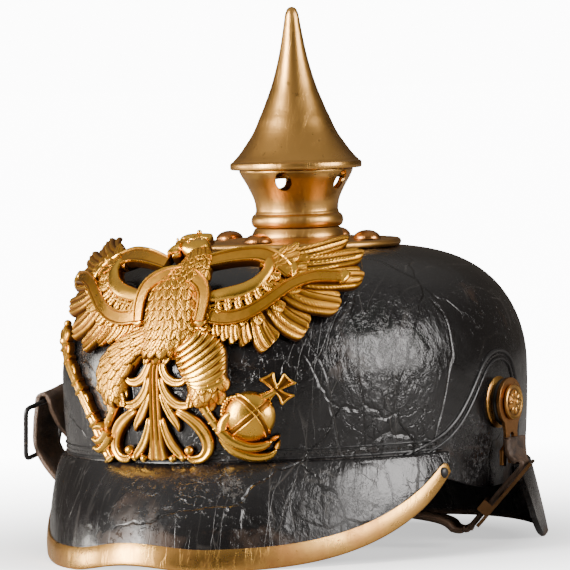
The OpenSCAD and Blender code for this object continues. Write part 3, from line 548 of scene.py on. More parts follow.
@dataclass(frozen=True)
class Brass(Finish):
    """Brass with tarnish clouds, fine scratches and, on turned pieces, lathe rings."""

    bright: Colour = (0.64, 0.345, 0.095)
    dull: Colour = (0.44, 0.205, 0.05)
    dark: Colour = (0.1, 0.045, 0.014)
    rough: float = 0.27
    tarnish: float = 0.75
    cloud: float = 28.0
    rings: float = 0.0

    def wire(self, g: Graph) -> None:
        """Wires worn brass.

        Args:
            g: The material's nodes.
        """
        here = g.place()
        colours = {"Bright": self.bright, "Dull": self.dull, "Dark": self.dark}
        metal = TARNISH.put(g, here, self.cloud, Amount=self.tarnish, **colours)
        scratch = SCRATCHES.put(g, here, 90.0)["Mask"]
        # Darkened towards the dark colour by the value that the mesh carries and by the tarnish: real grime in hollows,
        # and painted shadow round the base plate's studs.
        dirt_and_shade = g.ramp(g.plus(g.attribute("grime_and_shade"), g.times(metal["Cloud"], 0.25)), 0.35, 1.0)
        rough = g.ramp(metal["Cloud"], 0.0, 1.0, self.rough, self.rough + 0.13)
        rough = g.plus(rough, g.times(dirt_and_shade, 0.25), g.times(scratch, 0.08), clamp=True)
        layers = [
            (g.noise(here, 55.0, 3.0), 0.25, 0.0006),
            (g.noise(here, 700.0, 3.0, 0.7), 0.12, 0.0001),
            (g.times(scratch, -1.0), 0.25, 0.00012),
        ]
        if self.rings:
            turned = TURNED.put(g, g.shift("SUBTRACT", here, tuple(AXIS)), 1500.0)["Height"]
            layers.append((turned, self.rings, 0.00012))
        base = g.mix(dirt_and_shade, metal["Color"], self.dark)
        g.close({"Base Color": base, "Metallic": 1.0, "Roughness": rough, "Normal": g.bumps(*layers)})


@dataclass(frozen=True)
class Gilt(Finish):
    """Gilded stamped brass: bright on the ridges, brown patina and painted shade in the recesses, feather barbs cut in.
    """

    bright: Colour = (1.0, 0.56, 0.08)
    # warm and deep darken the gold away from the ridges: brown patina and painted shade in the recesses.
    warm: Colour = (0.74, 0.32, 0.035)
    deep: Colour = (0.1, 0.036, 0.008)
    speck: Colour = (0.3, 0.15, 0.05)
    barb_pitch: float = 0.95

    def wire(self, g: Graph) -> None:
        """Wires the plate's gilding from the mesh's lightness and barb values, with patina and painted shade in the
        recesses.

        Args:
            g: The material's nodes.
        """
        here = g.place()
        colours = {"Bright": self.bright, "Dull": self.warm, "Dark": self.speck}
        metal = TARNISH.put(g, here, 60.0, Amount=0.5, **colours)
        flat = g.add("ShaderNodeUVMap", uv_map="UVMap").outputs[0]
        along, aside, _ = g.add("ShaderNodeSeparateXYZ", {0: flat}).outputs
        lean = g.plus(along, g.times(g.math("ABSOLUTE", g.math("SUBTRACT", aside, 0.5)), -1.15))
        wave = g.math("SINE", g.times(lean, 100.0 * 2 * math.pi / self.barb_pitch))
        line = g.times(g.ramp(wave, -1.0, 0.1, 1.0, 0.0), g.attribute("barb"), clamp=True)
        broken = g.math("SUBTRACT", g.noise(here, 260.0, 3.0, 0.6), 0.5)
        # The lightness value is high on the lit ridges and low in the recesses and cut barb lines; there the gold turns
        # warm, then deep brown, as patina and painted shade.
        shade = g.plus(g.attribute("relief"), g.times(broken, 0.25))
        deep = g.most(g.ramp(shade, 0.12, 0.7, 1.0, 0.0), g.times(line, 0.4))
        base = g.mix(g.ramp(shade, 0.35, 0.95, 1.0, 0.0), metal["Color"], self.warm)
        base = g.mix(deep, base, self.deep)
        rough = g.plus(g.ramp(metal["Cloud"], 0.0, 1.0, 0.22, 0.34), g.times(deep, 0.25), clamp=True)
        hand, fine = g.noise(here, 180.0, 4.0, 0.65), g.noise(here, 900.0, 2.0)
        normal = g.bumps((hand, 0.45, 0.0005), (g.times(line, -1.0), 0.8, 0.0003), (fine, 0.2, 0.0001))
        g.close({"Base Color": base, "Metallic": 1.0, "Roughness": rough, "Normal": normal})


@dataclass(frozen=True)
class DarkIron(Finish):
    """Black japanned iron wire, chipped to bare metal here and there."""

    black: Colour = (0.014, 0.013, 0.013)
    bare: Colour = (0.2, 0.17, 0.14)

    def wire(self, g: Graph) -> None:
        """Wires japanned iron.

        Args:
            g: The material's nodes.
        """
        here = g.place()
        chips = g.ramp(g.noise(here, 420.0, 4.0, 0.6), 0.62, 0.66)
        base = g.mix(chips, self.black, self.bare)
        rough = g.ramp(g.noise(here, 300.0, 3.0), 0.3, 0.7, 0.3, 0.5)
        normal = g.bumps((g.noise(here, 800.0, 3.0), 0.3, 0.0002))
        g.close({"Base Color": base, "Metallic": chips, "Roughness": rough, "Normal": normal})


@dataclass(frozen=True)
class Thread(Finish):
    """Waxed thread or cord, twisted along its length."""

    pale: Colour = (0.42, 0.34, 0.23)
    twist: float = 900.0

    def wire(self, g: Graph) -> None:
        """Wires twisted fibre.

        Args:
            g: The material's nodes.
        """
        here = g.place()
        lean = g.turn(here, (1.0, 1.0, 1.0), (0.6, 0.5, 0.8))
        wave = g.add("ShaderNodeTexWave", {"Vector": lean, "Scale": self.twist, "Distortion": 2.0}).outputs["Fac"]
        soil = g.ramp(g.noise(here, 150.0, 4.0), 0.4, 0.7)
        base = g.mix(soil, self.pale, tuple(c * 0.45 for c in self.pale))
        rough = g.ramp(soil, 0.0, 1.0, 0.7, 0.85)
        g.close({"Base Color": base, "Roughness": rough, "Normal": g.bumps((wave, 0.6, 0.0003))})


@dataclass(frozen=True)
class Paper(Finish):
    """The studio's pale floor, lit from below as the camera sees it, all but a pool round the object."""

    white: Colour = (0.8, 0.8, 0.8)
    cool: Colour = (0.78, 0.78, 0.785)
    shade: Colour = (0.3, 0.29, 0.28)

    def wire(self, g: Graph) -> None:
        """Wires a matt floor that brightens away from the object.

        Args:
            g: The material's nodes.
        """
        here = g.place()
        away = g.add("ShaderNodeVectorMath", {0: here}, operation="LENGTH").outputs["Value"]
        seen = g.add("ShaderNodeLightPath").outputs["Is Camera Ray"]
        glow = g.times(g.ramp(away, 0.09, 0.55, 0.8, 12.0), seen)
        cloudy = g.mix(g.noise(here, 3.0, 2.0), self.white, self.cool)
        base = g.mix(seen, self.shade, cloudy)
        light = {"Emission Color": (1.0, 1.0, 1.0), "Emission Strength": glow}
        g.close({"Base Color": base, "Roughness": 0.9, **light})


BLACK = Lacquer("black_lacquer", "black_leather")
BLACK_EDGE = Lacquer("black_edge_leather", "black_leather", gloss=0.34, wear=1.1)
STRAP = PlainLeather("strap_brown_leather", "strap_leather", (0.1, 0.06, 0.038), (0.016, 0.011, 0.008), 0.46, 1.0, 340)
LINING = PlainLeather("lining_tan_leather", "lining_leather", (0.36, 0.2, 0.1), (0.15, 0.075, 0.036), 0.6, 0.35, 160)
PACKING = PlainLeather("packing_leather", "strap_leather", (0.05, 0.03, 0.02), (0.02, 0.012, 0.008))
TURNED_BRASS = Brass("turned_brass", "brass", tarnish=0.5, rings=0.3)
SHEET_BRASS = Brass("sheet_brass", "brass", bright=(0.6, 0.34, 0.1), cloud=36.0)
TRIM_BRASS = Brass("trim_brass", "brass", (0.72, 0.4, 0.105), (0.44, 0.2, 0.06), rough=0.25, tarnish=0.9, cloud=60.0)
COPPER = Brass("coppery_brass", "copper", (0.56, 0.25, 0.075), (0.36, 0.13, 0.035), (0.08, 0.03, 0.01), 0.22, 0.8, 40.0)
BROWN_BRASS = Brass(
    "brown_brass", "copper", (0.52, 0.25, 0.085), (0.3, 0.135, 0.045), (0.06, 0.03, 0.012), 0.26, 0.8, 50
)
BRONZE = Brass("dark_bronze", "copper", (0.17, 0.088, 0.038), (0.09, 0.046, 0.021), (0.028, 0.015, 0.008), 0.3, 0.8, 60)
GILT = Gilt("stamped_gilt", "gilt")
IRON = DarkIron("japanned_iron", "iron_wire")
TWINE = Thread("liner_cord_fibre", "cord")
BLACK_THREAD = Thread("black_waxed_thread", "black_leather", pale=(0.03, 0.026, 0.024), twist=1400.0)
FLOOR = Paper("studio_floor", "floor")


# ---------------------------------------------------------------- mesh hands


class Shaper:
    """One bmesh under construction, with its UV map and the values that finishes read."""

    def __init__(self, *values: str) -> None:
        """Starts an empty mesh that carries these named values.

        Args:
            *values: Names of the values.
        """
        self.bm = bmesh.new()
        self.uv = self.bm.loops.layers.uv.new("UVMap")
        self.values = {name: self.bm.verts.layers.float.new(name) for name in values}

    def grid(self, steps_u: int, steps_v: int, place: Place, spread: Pair) -> Verts:
        """Lays a grid on a surface.

        Args:
            steps_u: Faces along the first share.
            steps_v: Faces along the second share.
            place: Gives the point, in millimetres, at two shares from 0 to 1.
            spread: Size of the UV map along both shares.

        Returns:
            The grid's vertices.
        """
        made = bmesh.ops.create_grid(self.bm, x_segments=steps_u, y_segments=steps_v, size=0.5)["verts"]
        for loop in {loop for vert in made for loop in vert.link_loops}:
            flat = loop.vert.co
            loop[self.uv].uv = ((flat.x + 0.5) * spread[0], 0.5 + flat.y * spread[1])
        for vert in made:
            vert.co = place(vert.co.x + 0.5, vert.co.y + 0.5) * MM
        return made

    def loft(self, rings: Sequence[Sequence[Vector]], spread: Pair, closed: bool = False) -> None:
        """Lays a skin through rings of points.

        Args:
            rings: The rings, each with its points in order round a closed section.
            spread: Size of the UV map along the skin and round it.
            closed: Whether the last ring joins the first.
        """
        count, steps = len(rings[0]), len(rings) - (not closed)

        def place(u: float, v: float) -> Vector:
            """Point of the rings."""
            return rings[round(u * steps) % len(rings)][round(v * count) % count]

        self.grid(steps, count, place, spread)

    def carry(self, name: str, rule: Callable[[Vector], float], verts: Optional[Sequence[Any]] = None) -> None:
        """Gives vertices a value.

        Args:
            name: The value's name.
            rule: Gives the value at a place in millimetres.
            verts: The vertices, where they aren't all of them.
        """
        for vert in self.bm.verts if verts is None else verts:
            vert[self.values[name]] = rule(vert.co / MM)

    def seal(self, distance: float = 0.002) -> None:
        """Merges what lies together, within a distance in millimetres, and closes every open end."""
        bmesh.ops.remove_doubles(self.bm, verts=self.bm.verts[:], dist=distance * MM)
        bmesh.ops.holes_fill(self.bm, edges=[edge for edge in self.bm.edges if edge.is_boundary], sides=0)

    def bore(self, cutter: "Shaper") -> None:
        """Takes the closed shapes of another shaper out of this one.

        Args:
            cutter: The shapes, which are used up.
        """
        made = []
        for shaper, name in ((self, "bored"), (cutter, "bores")):
            bmesh.ops.recalc_face_normals(shaper.bm, faces=shaper.bm.faces[:])
            mesh = bpy.data.meshes.new(name)
            shaper.bm.to_mesh(mesh)
            shaper.bm.free()
            made.append(bpy.data.objects.new(name, mesh))
            bpy.context.scene.collection.objects.link(made[-1])
        cut = made[0].modifiers.new("bores", "BOOLEAN")
        cut.operation, cut.object, cut.solver = "DIFFERENCE", made[1], "EXACT"
        bpy.context.view_layer.update()
        self.bm = bmesh.new()
        self.bm.from_mesh(made[0].evaluated_get(bpy.context.evaluated_depsgraph_get()).to_mesh())
        for spare in made:
            bpy.data.objects.remove(spare)

    def lathe(self, profile: Sequence[Pair], steps: int, stand: Optional[Matrix] = None) -> Verts:
        """Spins a closed profile of radius and height, in millimetres.

        Args:
            profile: Points in order, the run starting and ending on the axis or closing on itself.
            steps: Faces round the axis.
            stand: Where the turned piece stands, with its axis along its own Z, in metres.

        Returns:
            The new vertices.
        """
        before = set(self.bm.verts)
        verts = [self.bm.verts.new((r * MM, 0.0, z * MM)) for r, z in profile]
        edges = [self.bm.edges.new(pair) for pair in zip(verts, verts[1:])]
        if profile[0][0] > 1e-6:
            edges.append(self.bm.edges.new((verts[-1], verts[0])))
        turn = {"axis": (0, 0, 1), "cent": (0, 0, 0), "angle": 2 * math.pi, "steps": steps, "use_merge": True}
        bmesh.ops.spin(self.bm, geom=verts + edges, **turn)
        fresh = [vert for vert in self.bm.verts if vert not in before]
        bmesh.ops.remove_doubles(self.bm, verts=fresh, dist=1e-6)
        fresh = [vert for vert in self.bm.verts if vert not in before]
        if stand is not None:
            bmesh.ops.transform(self.bm, matrix=stand, verts=fresh)
        return fresh

    def ball(self, stand: Matrix, round_steps: int, rows: int) -> Verts:
        """Adds a unit ball under a matrix, in metres."""
        steps = {"u_segments": round_steps, "v_segments": rows}
        return bmesh.ops.create_uvsphere(self.bm, radius=1.0, matrix=stand, **steps)["verts"]

    def block(self, stand: Matrix) -> None:
        """Adds a unit cube under a matrix, in metres."""
        bmesh.ops.create_cube(self.bm, size=1.0, matrix=stand)

    def tube(self, points: Sequence[Vector], radius: float, sides: int, closed: bool = False) -> None:
        """Runs a round wire through points.

        Args:
            points: Its middle line, in millimetres.
            radius: Its radius.
            sides: Faces round it.
            closed: Whether its end joins its start.
        """
        rings = []
        normal = Vector((0.0, 0.0, 1.0))
        for i, point in enumerate(points):
            ahead = points[(i + 1) % len(points)] if closed or i < len(points) - 1 else point
            behind = points[i - 1] if closed or i else point
            way = (ahead - behind).normalized()
            side = way.cross(normal)
            side = side.normalized() if side.length > 0.05 else way.orthogonal().normalized()
            normal = side.cross(way).normalized()
            turns = [2 * math.pi * k / sides for k in range(sides)]
            rings.append([point + (side * math.cos(a) + normal * math.sin(a)) * radius for a in turns])
        self.loft(rings, (0.2, 0.02), closed)


@dataclass(frozen=True)
class Piece:
    """One finished object: its name, finish, body and the CAD nodes that it stands for."""

    name: str
    finish: Finish
    body: Body = Body.HELMET
    stands_for: tuple[str, ...] = ()
    sharp: float = 40.0
    bevel: float = 0.0

    def make(self, shaper: Shaper, shaped: bool = True) -> None:
        """Turns a mesh into the finished object, which rides on its body.

        Args:
            shaper: The mesh, which is used up.
            shaped: Whether it was shaped here about the spike's axis, so that its faces are turned
                outwards and it is moved to where the axis stands.
        """
        if shaped:
            bmesh.ops.recalc_face_normals(shaper.bm, faces=shaper.bm.faces[:])
            bmesh.ops.translate(shaper.bm, verts=shaper.bm.verts[:], vec=AXIS)
        mesh = bpy.data.meshes.new(self.name)
        shaper.bm.to_mesh(mesh)
        shaper.bm.free()
        mesh.shade_smooth()
        mesh.set_sharp_from_angle(angle=math.radians(self.sharp))
        made = bpy.data.objects.new(self.name, mesh)
        bpy.context.scene.collection.objects.link(made)
        mesh.materials.clear()
        mesh.materials.append(self.finish.material())
        if self.bevel:
            edge = made.modifiers.new("edge", "BEVEL")
            edge.width, edge.segments, edge.harden_normals = self.bevel * MM, 2, True
            edge.limit_method, edge.angle_limit = "ANGLE", math.radians(38)
        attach(made, self.body.value)
        if self.stands_for:
            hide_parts(*self.stands_for)
        LOG.info("%s: %d faces, %s, on %s", self.name, len(mesh.polygons), self.finish.name, self.body.value)

    def copy_node(self) -> None:
        """Makes a merged copy of the CAD node that it stands for, with soft edges."""
        shaper = Shaper("grime_and_shade", "wear")
        shaper.bm.from_mesh(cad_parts[self.stands_for[0]].data)
        verts = shaper.bm.verts
        bmesh.ops.remove_doubles(shaper.bm, verts=verts[:], dist=2e-6)
        if self.bevel:
            flat = math.radians(1)
            bmesh.ops.dissolve_limit(shaper.bm, angle_limit=flat, verts=verts[:], edges=shaper.bm.edges[:])
        self.make(shaper, shaped=False)


def stand_at(point: Vector, axis: Vector, about: Optional[Vector] = None) -> Matrix:
    """Matrix that stands a turned piece up.

    Args:
        point: Where its foot is, in millimetres.
        axis: The way that its own Z goes.
        about: The way that its own X leans, where that matters.

    Returns:
        The matrix, in metres.
    """
    up = axis.normalized()
    hint = about if about is not None else up.orthogonal()
    right = (hint - up * hint.dot(up)).normalized()
    ahead = up.cross(right)
    turn = Matrix((right, ahead, up)).transposed().to_4x4()
    return Matrix.Translation(point * MM) @ turn


# ---------------------------------------------------------------- skull and visors


@dataclass(frozen=True)
class SkullForm:
    """The double curve that the skull, visors, plate and lining follow."""

    half_w: float = 90.0
    half_l: float = 110.0
    mid_y: float = -4.0
    wall: float = 3.0
    widest_z: float = 71.0
    dome_h: float = 50.8
    fullness: float = 4.2
    edge_z: float = 24.0
    edge_front: float = 10.0
    edge_back: float = 3.0
    edge_run: float = 60.0
    last_climb: float = 75.0
    hole_r: float = 17.0
    taper: float = 0.07
    visor_t: float = 2.6
    visor_seam_z: float = 40.5
    visor_out: float = 26.0
    visor_arch: float = 3.0
    visor_flat: float = 20.0
    visor_rise: float = 33.0
    visor_half: float = 73.5
    guard_seam_z: float = 31.0
    guard_out: float = 24.0
    guard_side: float = 8.0
    guard_half: float = 76.0
    guard_turn: float = 66.0
    guard_rise: float = 9.0
    trim_w: float = 8.2
    trim_t: float = 0.7

    def rho(self, z: float) -> float:
        """Share of the full plan size at a height.

        Args:
            z: Height above the table.

        Returns:
            The share, 1 at the widest place and 0 at the top.
        """
        if z < self.widest_z:
            return 1 - self.taper * ((self.widest_z - z) / self.widest_z) ** 2
        rise = min(1.0, (z - self.widest_z) / self.dome_h)
        return (1 - rise * rise) ** (1 / self.fullness)

    def at(self, angle: float, z: float, out: float = 0.0) -> Vector:
        """Point on the skull.

        Args:
            angle: Degrees from the front towards the wearer's left.
            z: Height.
            out: Distance outside the outer face.

        Returns:
            The point.
        """
        a, rho = math.radians(angle), self.rho(z)
        y = self.mid_y - (self.half_l * rho + out) * math.cos(a)
        return Vector(((self.half_w * rho + out) * math.sin(a), y, z))

    def beside(self, y: float, z: float) -> Vector:
        """Point on the wearer's left side of the skull at a place along Y."""
        share = (self.mid_y - y) / (self.half_l * self.rho(z))
        return self.at(math.degrees(math.acos(max(-1.0, min(1.0, share)))), z)

    def edge_at(self, angle: float) -> float:
        """Height of the lower edge at an angle."""
        y = self.mid_y - self.half_l * math.cos(math.radians(angle))
        return self.edge_z + (self.edge_front if y < 0 else self.edge_back) * ease(abs(y) / self.edge_run)

    def ring(self, angle: float, reach: float, z: float) -> Vector:
        """Point at a reach along the skull's length, drawn in for its width."""
        a = math.radians(angle)
        return Vector((reach * self.half_w / self.half_l * math.sin(a), self.mid_y - reach * math.cos(a), z))

    def dome(self, climb: float, depth: float) -> Pair:
        """Place on the dome.

        Args:
            climb: Angle of climb in degrees, 90 at the top.
            depth: Depth inside the outer face.

        Returns:
            Reach and height.
        """
        c = math.radians(climb)
        reach = (self.half_l - depth) * math.cos(c) ** (2 / self.fullness)
        return reach, self.widest_z + (self.dome_h - depth) * math.sin(c)

    def dome_at(self, reach: float, depth: float) -> float:
        """Height of the dome at a reach from the middle, a depth inside its outer face."""
        return self.widest_z + (self.dome_h - depth) * math.sqrt(1 - (reach / (self.half_l - depth)) ** self.fullness)

    def visor_edge_z(self, angle: float) -> float:
        """Height of the visor's edge at an angle.

        Args:
            angle: Degrees from the front.

        Returns:
            The height, lifted a little in the middle and steep at the ends.
        """
        u = abs(angle)
        if u < self.visor_flat:
            return self.visor_arch * math.cos(math.radians(90 * u / self.visor_flat)) ** 2
        return self.visor_rise * ((u - self.visor_flat) / (self.visor_half - self.visor_flat)) ** 3

    def visor_drop(self, angle: float) -> float:
        """Height of the visor between its seam and its edge."""
        return self.visor_seam_z - self.visor_edge_z(angle) - self.trim_t

    def visor(self, angle: float, v: float, out: float = 0.0) -> Vector:
        """Point on the visor's outer face.

        Args:
            angle: Degrees from the front.
            v: From 0 at the seam to 1 at the edge.
            out: Distance outside the outer face.

        Returns:
            The point.
        """
        a, q = math.radians(angle), math.radians(90 * v)
        reach = 0.35 * v + 0.65 * math.sin(q)
        fall = 0.5 * v + 0.5 * (1 - math.cos(q))
        side = 3 * math.sin(abs(a)) * min(1.0, self.visor_drop(angle) / 20)
        o, rho = self.visor_t + out, self.rho(self.visor_seam_z)
        x = (self.half_w * rho + side * reach + o) * math.sin(a)
        y = self.mid_y - (self.half_l * rho + self.visor_out * math.cos(a) ** 1.5 * reach + o) * math.cos(a)
        return Vector((x, y, self.visor_seam_z - self.visor_drop(angle) * fall))

    def visor_inside(self, angle: float, v: float, out: float = 0.0) -> Vector:
        """Point on the visor's inner face."""
        drop = (self.visor_t + out) * (1 - v) * 0.8 * min(1.0, self.visor_drop(angle) / 25)
        return self.visor(angle, v, -self.visor_t - out) - Vector((0, 0, drop))

    def guard(self, angle: float, v: float, out: float = 0.0) -> Vector:
        """Point on the neck guard's outer face.

        Args:
            angle: Degrees from the back.
            v: From 0 at the seam to 1 at the edge.
            out: Distance outside the outer face.

        Returns:
            The point.
        """
        a = math.radians(angle)
        reach = 0.8 * v + 0.2 * math.sin(math.radians(90 * v))
        o, rho = self.visor_t + out, self.rho(self.guard_seam_z)
        s, c = math.sin(a) ** 2, math.cos(a) ** 2
        turn = max(0.0, (abs(angle) - self.guard_turn) / (self.guard_half - self.guard_turn))
        x = (self.half_w * rho + self.guard_side * s * reach + o) * math.sin(a)
        back = self.guard_out * c * reach + self.guard_side * 0.4 * s * reach
        y = self.mid_y + (self.half_l * rho + back + o) * math.cos(a)
        return Vector((x, y, self.guard_seam_z - (self.guard_seam_z - self.guard_rise * turn**2) * v))


FORM = SkullForm()


@dataclass
class Skull:
    """The leather skull with its visor, neck guard, brass trim and stitched side pieces."""

    stations: int = 180
    turned_in: float = 0.5
    trim_end: float = 69.6
    trim_round: float = 3.3
    rivet_at: float = 70.9
    lobe: tuple[Pair, ...] = (
        (-57, 40), (-50, 42.5), (-43, 45), (-36, 48), (-30, 52), (-25, 56.5), (-20, 62), (-15, 68),
        (-10, 73.5), (-4, 77.3), (3, 78.8), (10, 78), (16, 75), (20, 70), (22.5, 64), (24, 57),
        (25, 49), (25, 41), (24, 34),
    )  # fmt: skip

    def build(self) -> None:
        """Builds every piece."""
        self.shell()
        self.visor()
        self.neck_guard()
        self.trim()
        self.visor_welt()
        self.lobes()

    def shell(self) -> None:
        """The one-piece skull: each section runs up the inside and down the outside."""
        f = FORM

        def face(angle: float, depth: float) -> list[Vector]:
            """Run from the lower edge up to the air hole, a depth inside the outer face."""
            low = f.edge_at(angle)
            run = [(f.half_l * f.rho(z) - depth, z) for z in (low + (f.widest_z - low) * k / 12 for k in range(12))]
            run += [f.dome(f.last_climb * share, depth) for share in steps_of(30)]
            last = run[-1][0]
            reaches = [last + (f.hole_r - last) * share for share in steps_of(6)[1:]]
            return [f.ring(angle, *spot) for spot in run + [(reach, f.dome_at(reach, depth)) for reach in reaches]]

        def wear(p: Vector) -> float:
            """Worn where the visor joins and round the base plate."""
            return min(1.0, bump_at(p.z, f.visor_seam_z, 3.0) * 0.6 + bump_at(p.z, f.widest_z + f.dome_h, 5.0) * 0.5)

        angles = [360.0 * k / self.stations for k in range(self.stations)]
        shaper = Shaper("wear")
        shaper.loft([face(a, f.wall) + face(a, 0)[::-1] for a in angles], (0.7, 0.4), closed=True)
        shaper.seal()
        shaper.carry("wear", wear)
        Piece("skull_leather", BLACK, stands_for=("skull_shell",), sharp=50).make(shaper)

    def swept(self, angles: Sequence[float], ring: Callable[[float], list[Vector]], across: float = 0.1) -> Shaper:
        """Sweeps a closed section over angles and caps its ends.

        Args:
            angles: The angles, in order.
            ring: Gives the section at an angle.
            across: Size of the UV map round the section.

        Returns:
            The mesh.
        """
        shaper = Shaper("wear", "grime_and_shade")
        shaper.loft([ring(a) for a in angles], (0.3, across))
        shaper.seal()
        return shaper

    def visor(self) -> None:
        """The front visor, a little rounded at its free edge."""
        f, turned_in = FORM, Vector((0, 0, self.turned_in))

        def ring(a: float) -> list[Vector]:
            """Section of the visor."""
            lip = [f.visor(a, 0, depth) + turned_in for depth in (-f.visor_t, -0.6)]
            outer = [f.visor(a, share) for share in steps_of(20)]
            return [f.visor_inside(a, 1 - share) for share in steps_of(12)] + lip + outer

        shaper = self.swept(fan(f.visor_half, 120), ring)
        shaper.carry("wear", lambda p: 0.35 if p.z < 16 else 0.0)
        Piece("front_visor_leather", BLACK, stands_for=("front_visor",), sharp=50).make(shaper)

    def neck_guard(self) -> None:
        """The neck guard with a rounded, worn edge and two rows of stitches under its seam."""
        f, turned_in = FORM, Vector((0, 0, self.turned_in))

        def ring(a: float) -> list[Vector]:
            """Section of the neck guard."""
            inner = [f.guard(a, v, -f.visor_t) for v in (0.975, 0.9, 0.75, 0.6, 0.45, 0.3, 0.15, 0.0)]
            lip = [f.guard(a, 0, depth) + turned_in for depth in (-f.visor_t, -0.6)]
            outer = [f.guard(a, v) for v in (0.0, 0.12, 0.25, 0.4, 0.55, 0.7, 0.85, 0.975)]
            return inner + lip + outer + [f.guard(a, 1.0, -0.75), f.guard(a, 1.0, -f.visor_t + 0.75)]

        shaper = self.swept(fan(-f.guard_half, 120), ring)
        shaper.carry("wear", lambda p: bump_at(p.z, 0, 3.0))
        Piece("neck_guard_leather", BLACK, stands_for=("neck_guard",), sharp=50).make(shaper)
        welt = Shaper("wear")
        for low in (-2.2, -4.6):
            welt.tube([f.guard(a, 0.0, 0.1) + Vector((0, 0, low)) for a in fan(-0.97 * f.guard_half, 100)], 0.45, 6)
        welt.seal()
        Piece("neck_guard_stitch_lines", BLACK_THREAD).make(welt)

    def trim(self) -> None:
        """Brass folded round the visor's edge, its upper border rolled, and its two rivets."""
        f, t = FORM, FORM.trim_t
        down = Vector((0, 0, t))
        ends = [self.trim_end + self.trim_round * math.sin(math.radians(9 * j)) for j in range(1, 11)]
        angles = [-a for a in reversed(ends)] + fan(self.trim_end, 114) + ends

        def ring(a: float) -> list[Vector]:
            """Section of the folded strip, its upper corner rounded off at the ends."""
            v = max(0.03, 1 - f.trim_w / (1.3 * f.visor_drop(a)))
            v += (0.95 - v) * (1 - rounded(min(1.0, max(0.0, (abs(a) - self.trim_end) / self.trim_round))))
            runs = [v + (1 - v) * share for share in steps_of(6)]
            under = [f.visor_inside(a, 1, t * 0.5) - down, f.visor_inside(a, 1, t) - down * 0.6]
            inside = [f.visor_inside(a, u, t) for u in (0.97, (3 + v) / 4)]
            fold = [f.visor_inside(a, (3 + v) / 4), f.visor_inside(a, 1), f.visor(a, 1)]
            lower = [f.visor(a, u, 0.0) for u in reversed(runs[:-1])]
            rolled = [t + 0.25 * math.sin(math.pi * min(1.0, (u - v) / (1 - v))) for u in runs[1:-1]]
            upper = [f.visor(a, v, t * 0.8)] + [f.visor(a, u, lift) for u, lift in zip(runs[1:], rolled)]
            nose = [f.visor(a, 1, t * out) - down * drop for out, drop in ((1, -0.1), (0.9, 0.6), (0.5, 1))]
            return under + inside + fold + lower + upper + nose

        trim = Piece("front_trim_brass", TRIM_BRASS, stands_for=("front_trim",), sharp=42)
        trim.make(self.swept(angles, ring, 0.02))
        rivets = Shaper("grime_and_shade")
        inner = -f.visor_t - f.wall - 1.4
        washer = [(0.0, inner), (2.2, inner), (2.2, inner + 0.9), (0.9, inner + 0.9), (0.9, -0.1)]
        head = [(2.25, -0.1), (2.2, 0.3), (1.8, 0.75), (1.1, 1.0), (0.0, 1.1)]
        for a in (-self.rivet_at, self.rivet_at):
            spot = f.visor(a, 0.74, t)
            stand = stand_at(spot, f.visor(a, 0.74, t + 1) - spot, Vector((0, 0, 1)))
            rivets.lathe(washer + head, 32, stand)
        Piece("trim_rivets_iron", IRON, stands_for=("trim_rivets",)).make(rivets)

    def visor_welt(self) -> None:
        """Raised double line of stitching where the visor joins the skull."""
        f = FORM
        shaper = Shaper("wear")
        for lift, radius in ((1.6, 0.6), (5.2, 0.42)):
            line = [f.at(a, f.visor_seam_z + lift, 0.12) for a in fan(0.985 * f.visor_half, 140)]
            shaper.tube(line, radius, 8)
        shaper.seal()
        Piece("visor_welt_lines", BLACK_EDGE).make(shaper)
        stitches = Shaper("wear")
        for angle in fan(0.97 * f.visor_half, 91):
            here, ahead = (f.at(a, f.visor_seam_z + 3.4, 0.15) for a in (angle, angle + 0.5))
            out = Vector((here.x / f.half_w**2, (here.y - f.mid_y) / f.half_l**2, 0))
            stitches.ball(stand_at(here, out, ahead - here) @ sized(1.1, 0.34, 0.3), 6, 4)
        Piece("visor_stitches", BLACK_THREAD).make(stitches)

    def lobe_at(self, side: float, share: float, inset: float) -> Vector:
        """Point beside the lobe's line.

        Args:
            side: 1 for the wearer's left, -1 for the right.
            share: Share along the line.
            inset: How far it lies towards the post.

        Returns:
            The point.
        """
        share_to = min(1.0, share + 0.01)
        share_from = share if share_to > share else share - 0.01
        way = (line_at(self.lobe, share_to) - line_at(self.lobe, share_from)).normalized()
        spot = line_at(self.lobe, share) - beside_way(way) * inset
        return FORM.beside(spot.x, spot.y) * Vector((side, 1, 1))

    def lobes(self) -> None:
        """Double ridge and stitches of the side pieces, on both sides."""
        shaper, stitches = Shaper("wear"), Shaper("wear")
        for s in (1.0, -1.0):
            for inset, radius in ((0.0, 0.85), (3.3, 0.6)):
                line = [self.lobe_at(s, share, inset) + Vector((s * 0.15, 0, 0)) for share in steps_of(90)]
                shaper.tube(line, radius, 8)
            for k in range(62):
                here, ahead = (self.lobe_at(s, k / 62 + step, 1.7) for step in (0.004, 0.012))
                stand = stand_at(here + Vector((s * 0.1, 0, 0)), Vector((s, 0, 0.1)), ahead - here)
                stitches.ball(stand @ sized(0.95, 0.32, 0.3), 6, 4)
        shaper.seal()
        Piece("side_lobe_ridges", BLACK_EDGE, stands_for=("side_lobes",)).make(shaper)
        Piece("side_lobe_stitches", BLACK_THREAD).make(stitches)


# ---------------------------------------------------------------- spike and base plate


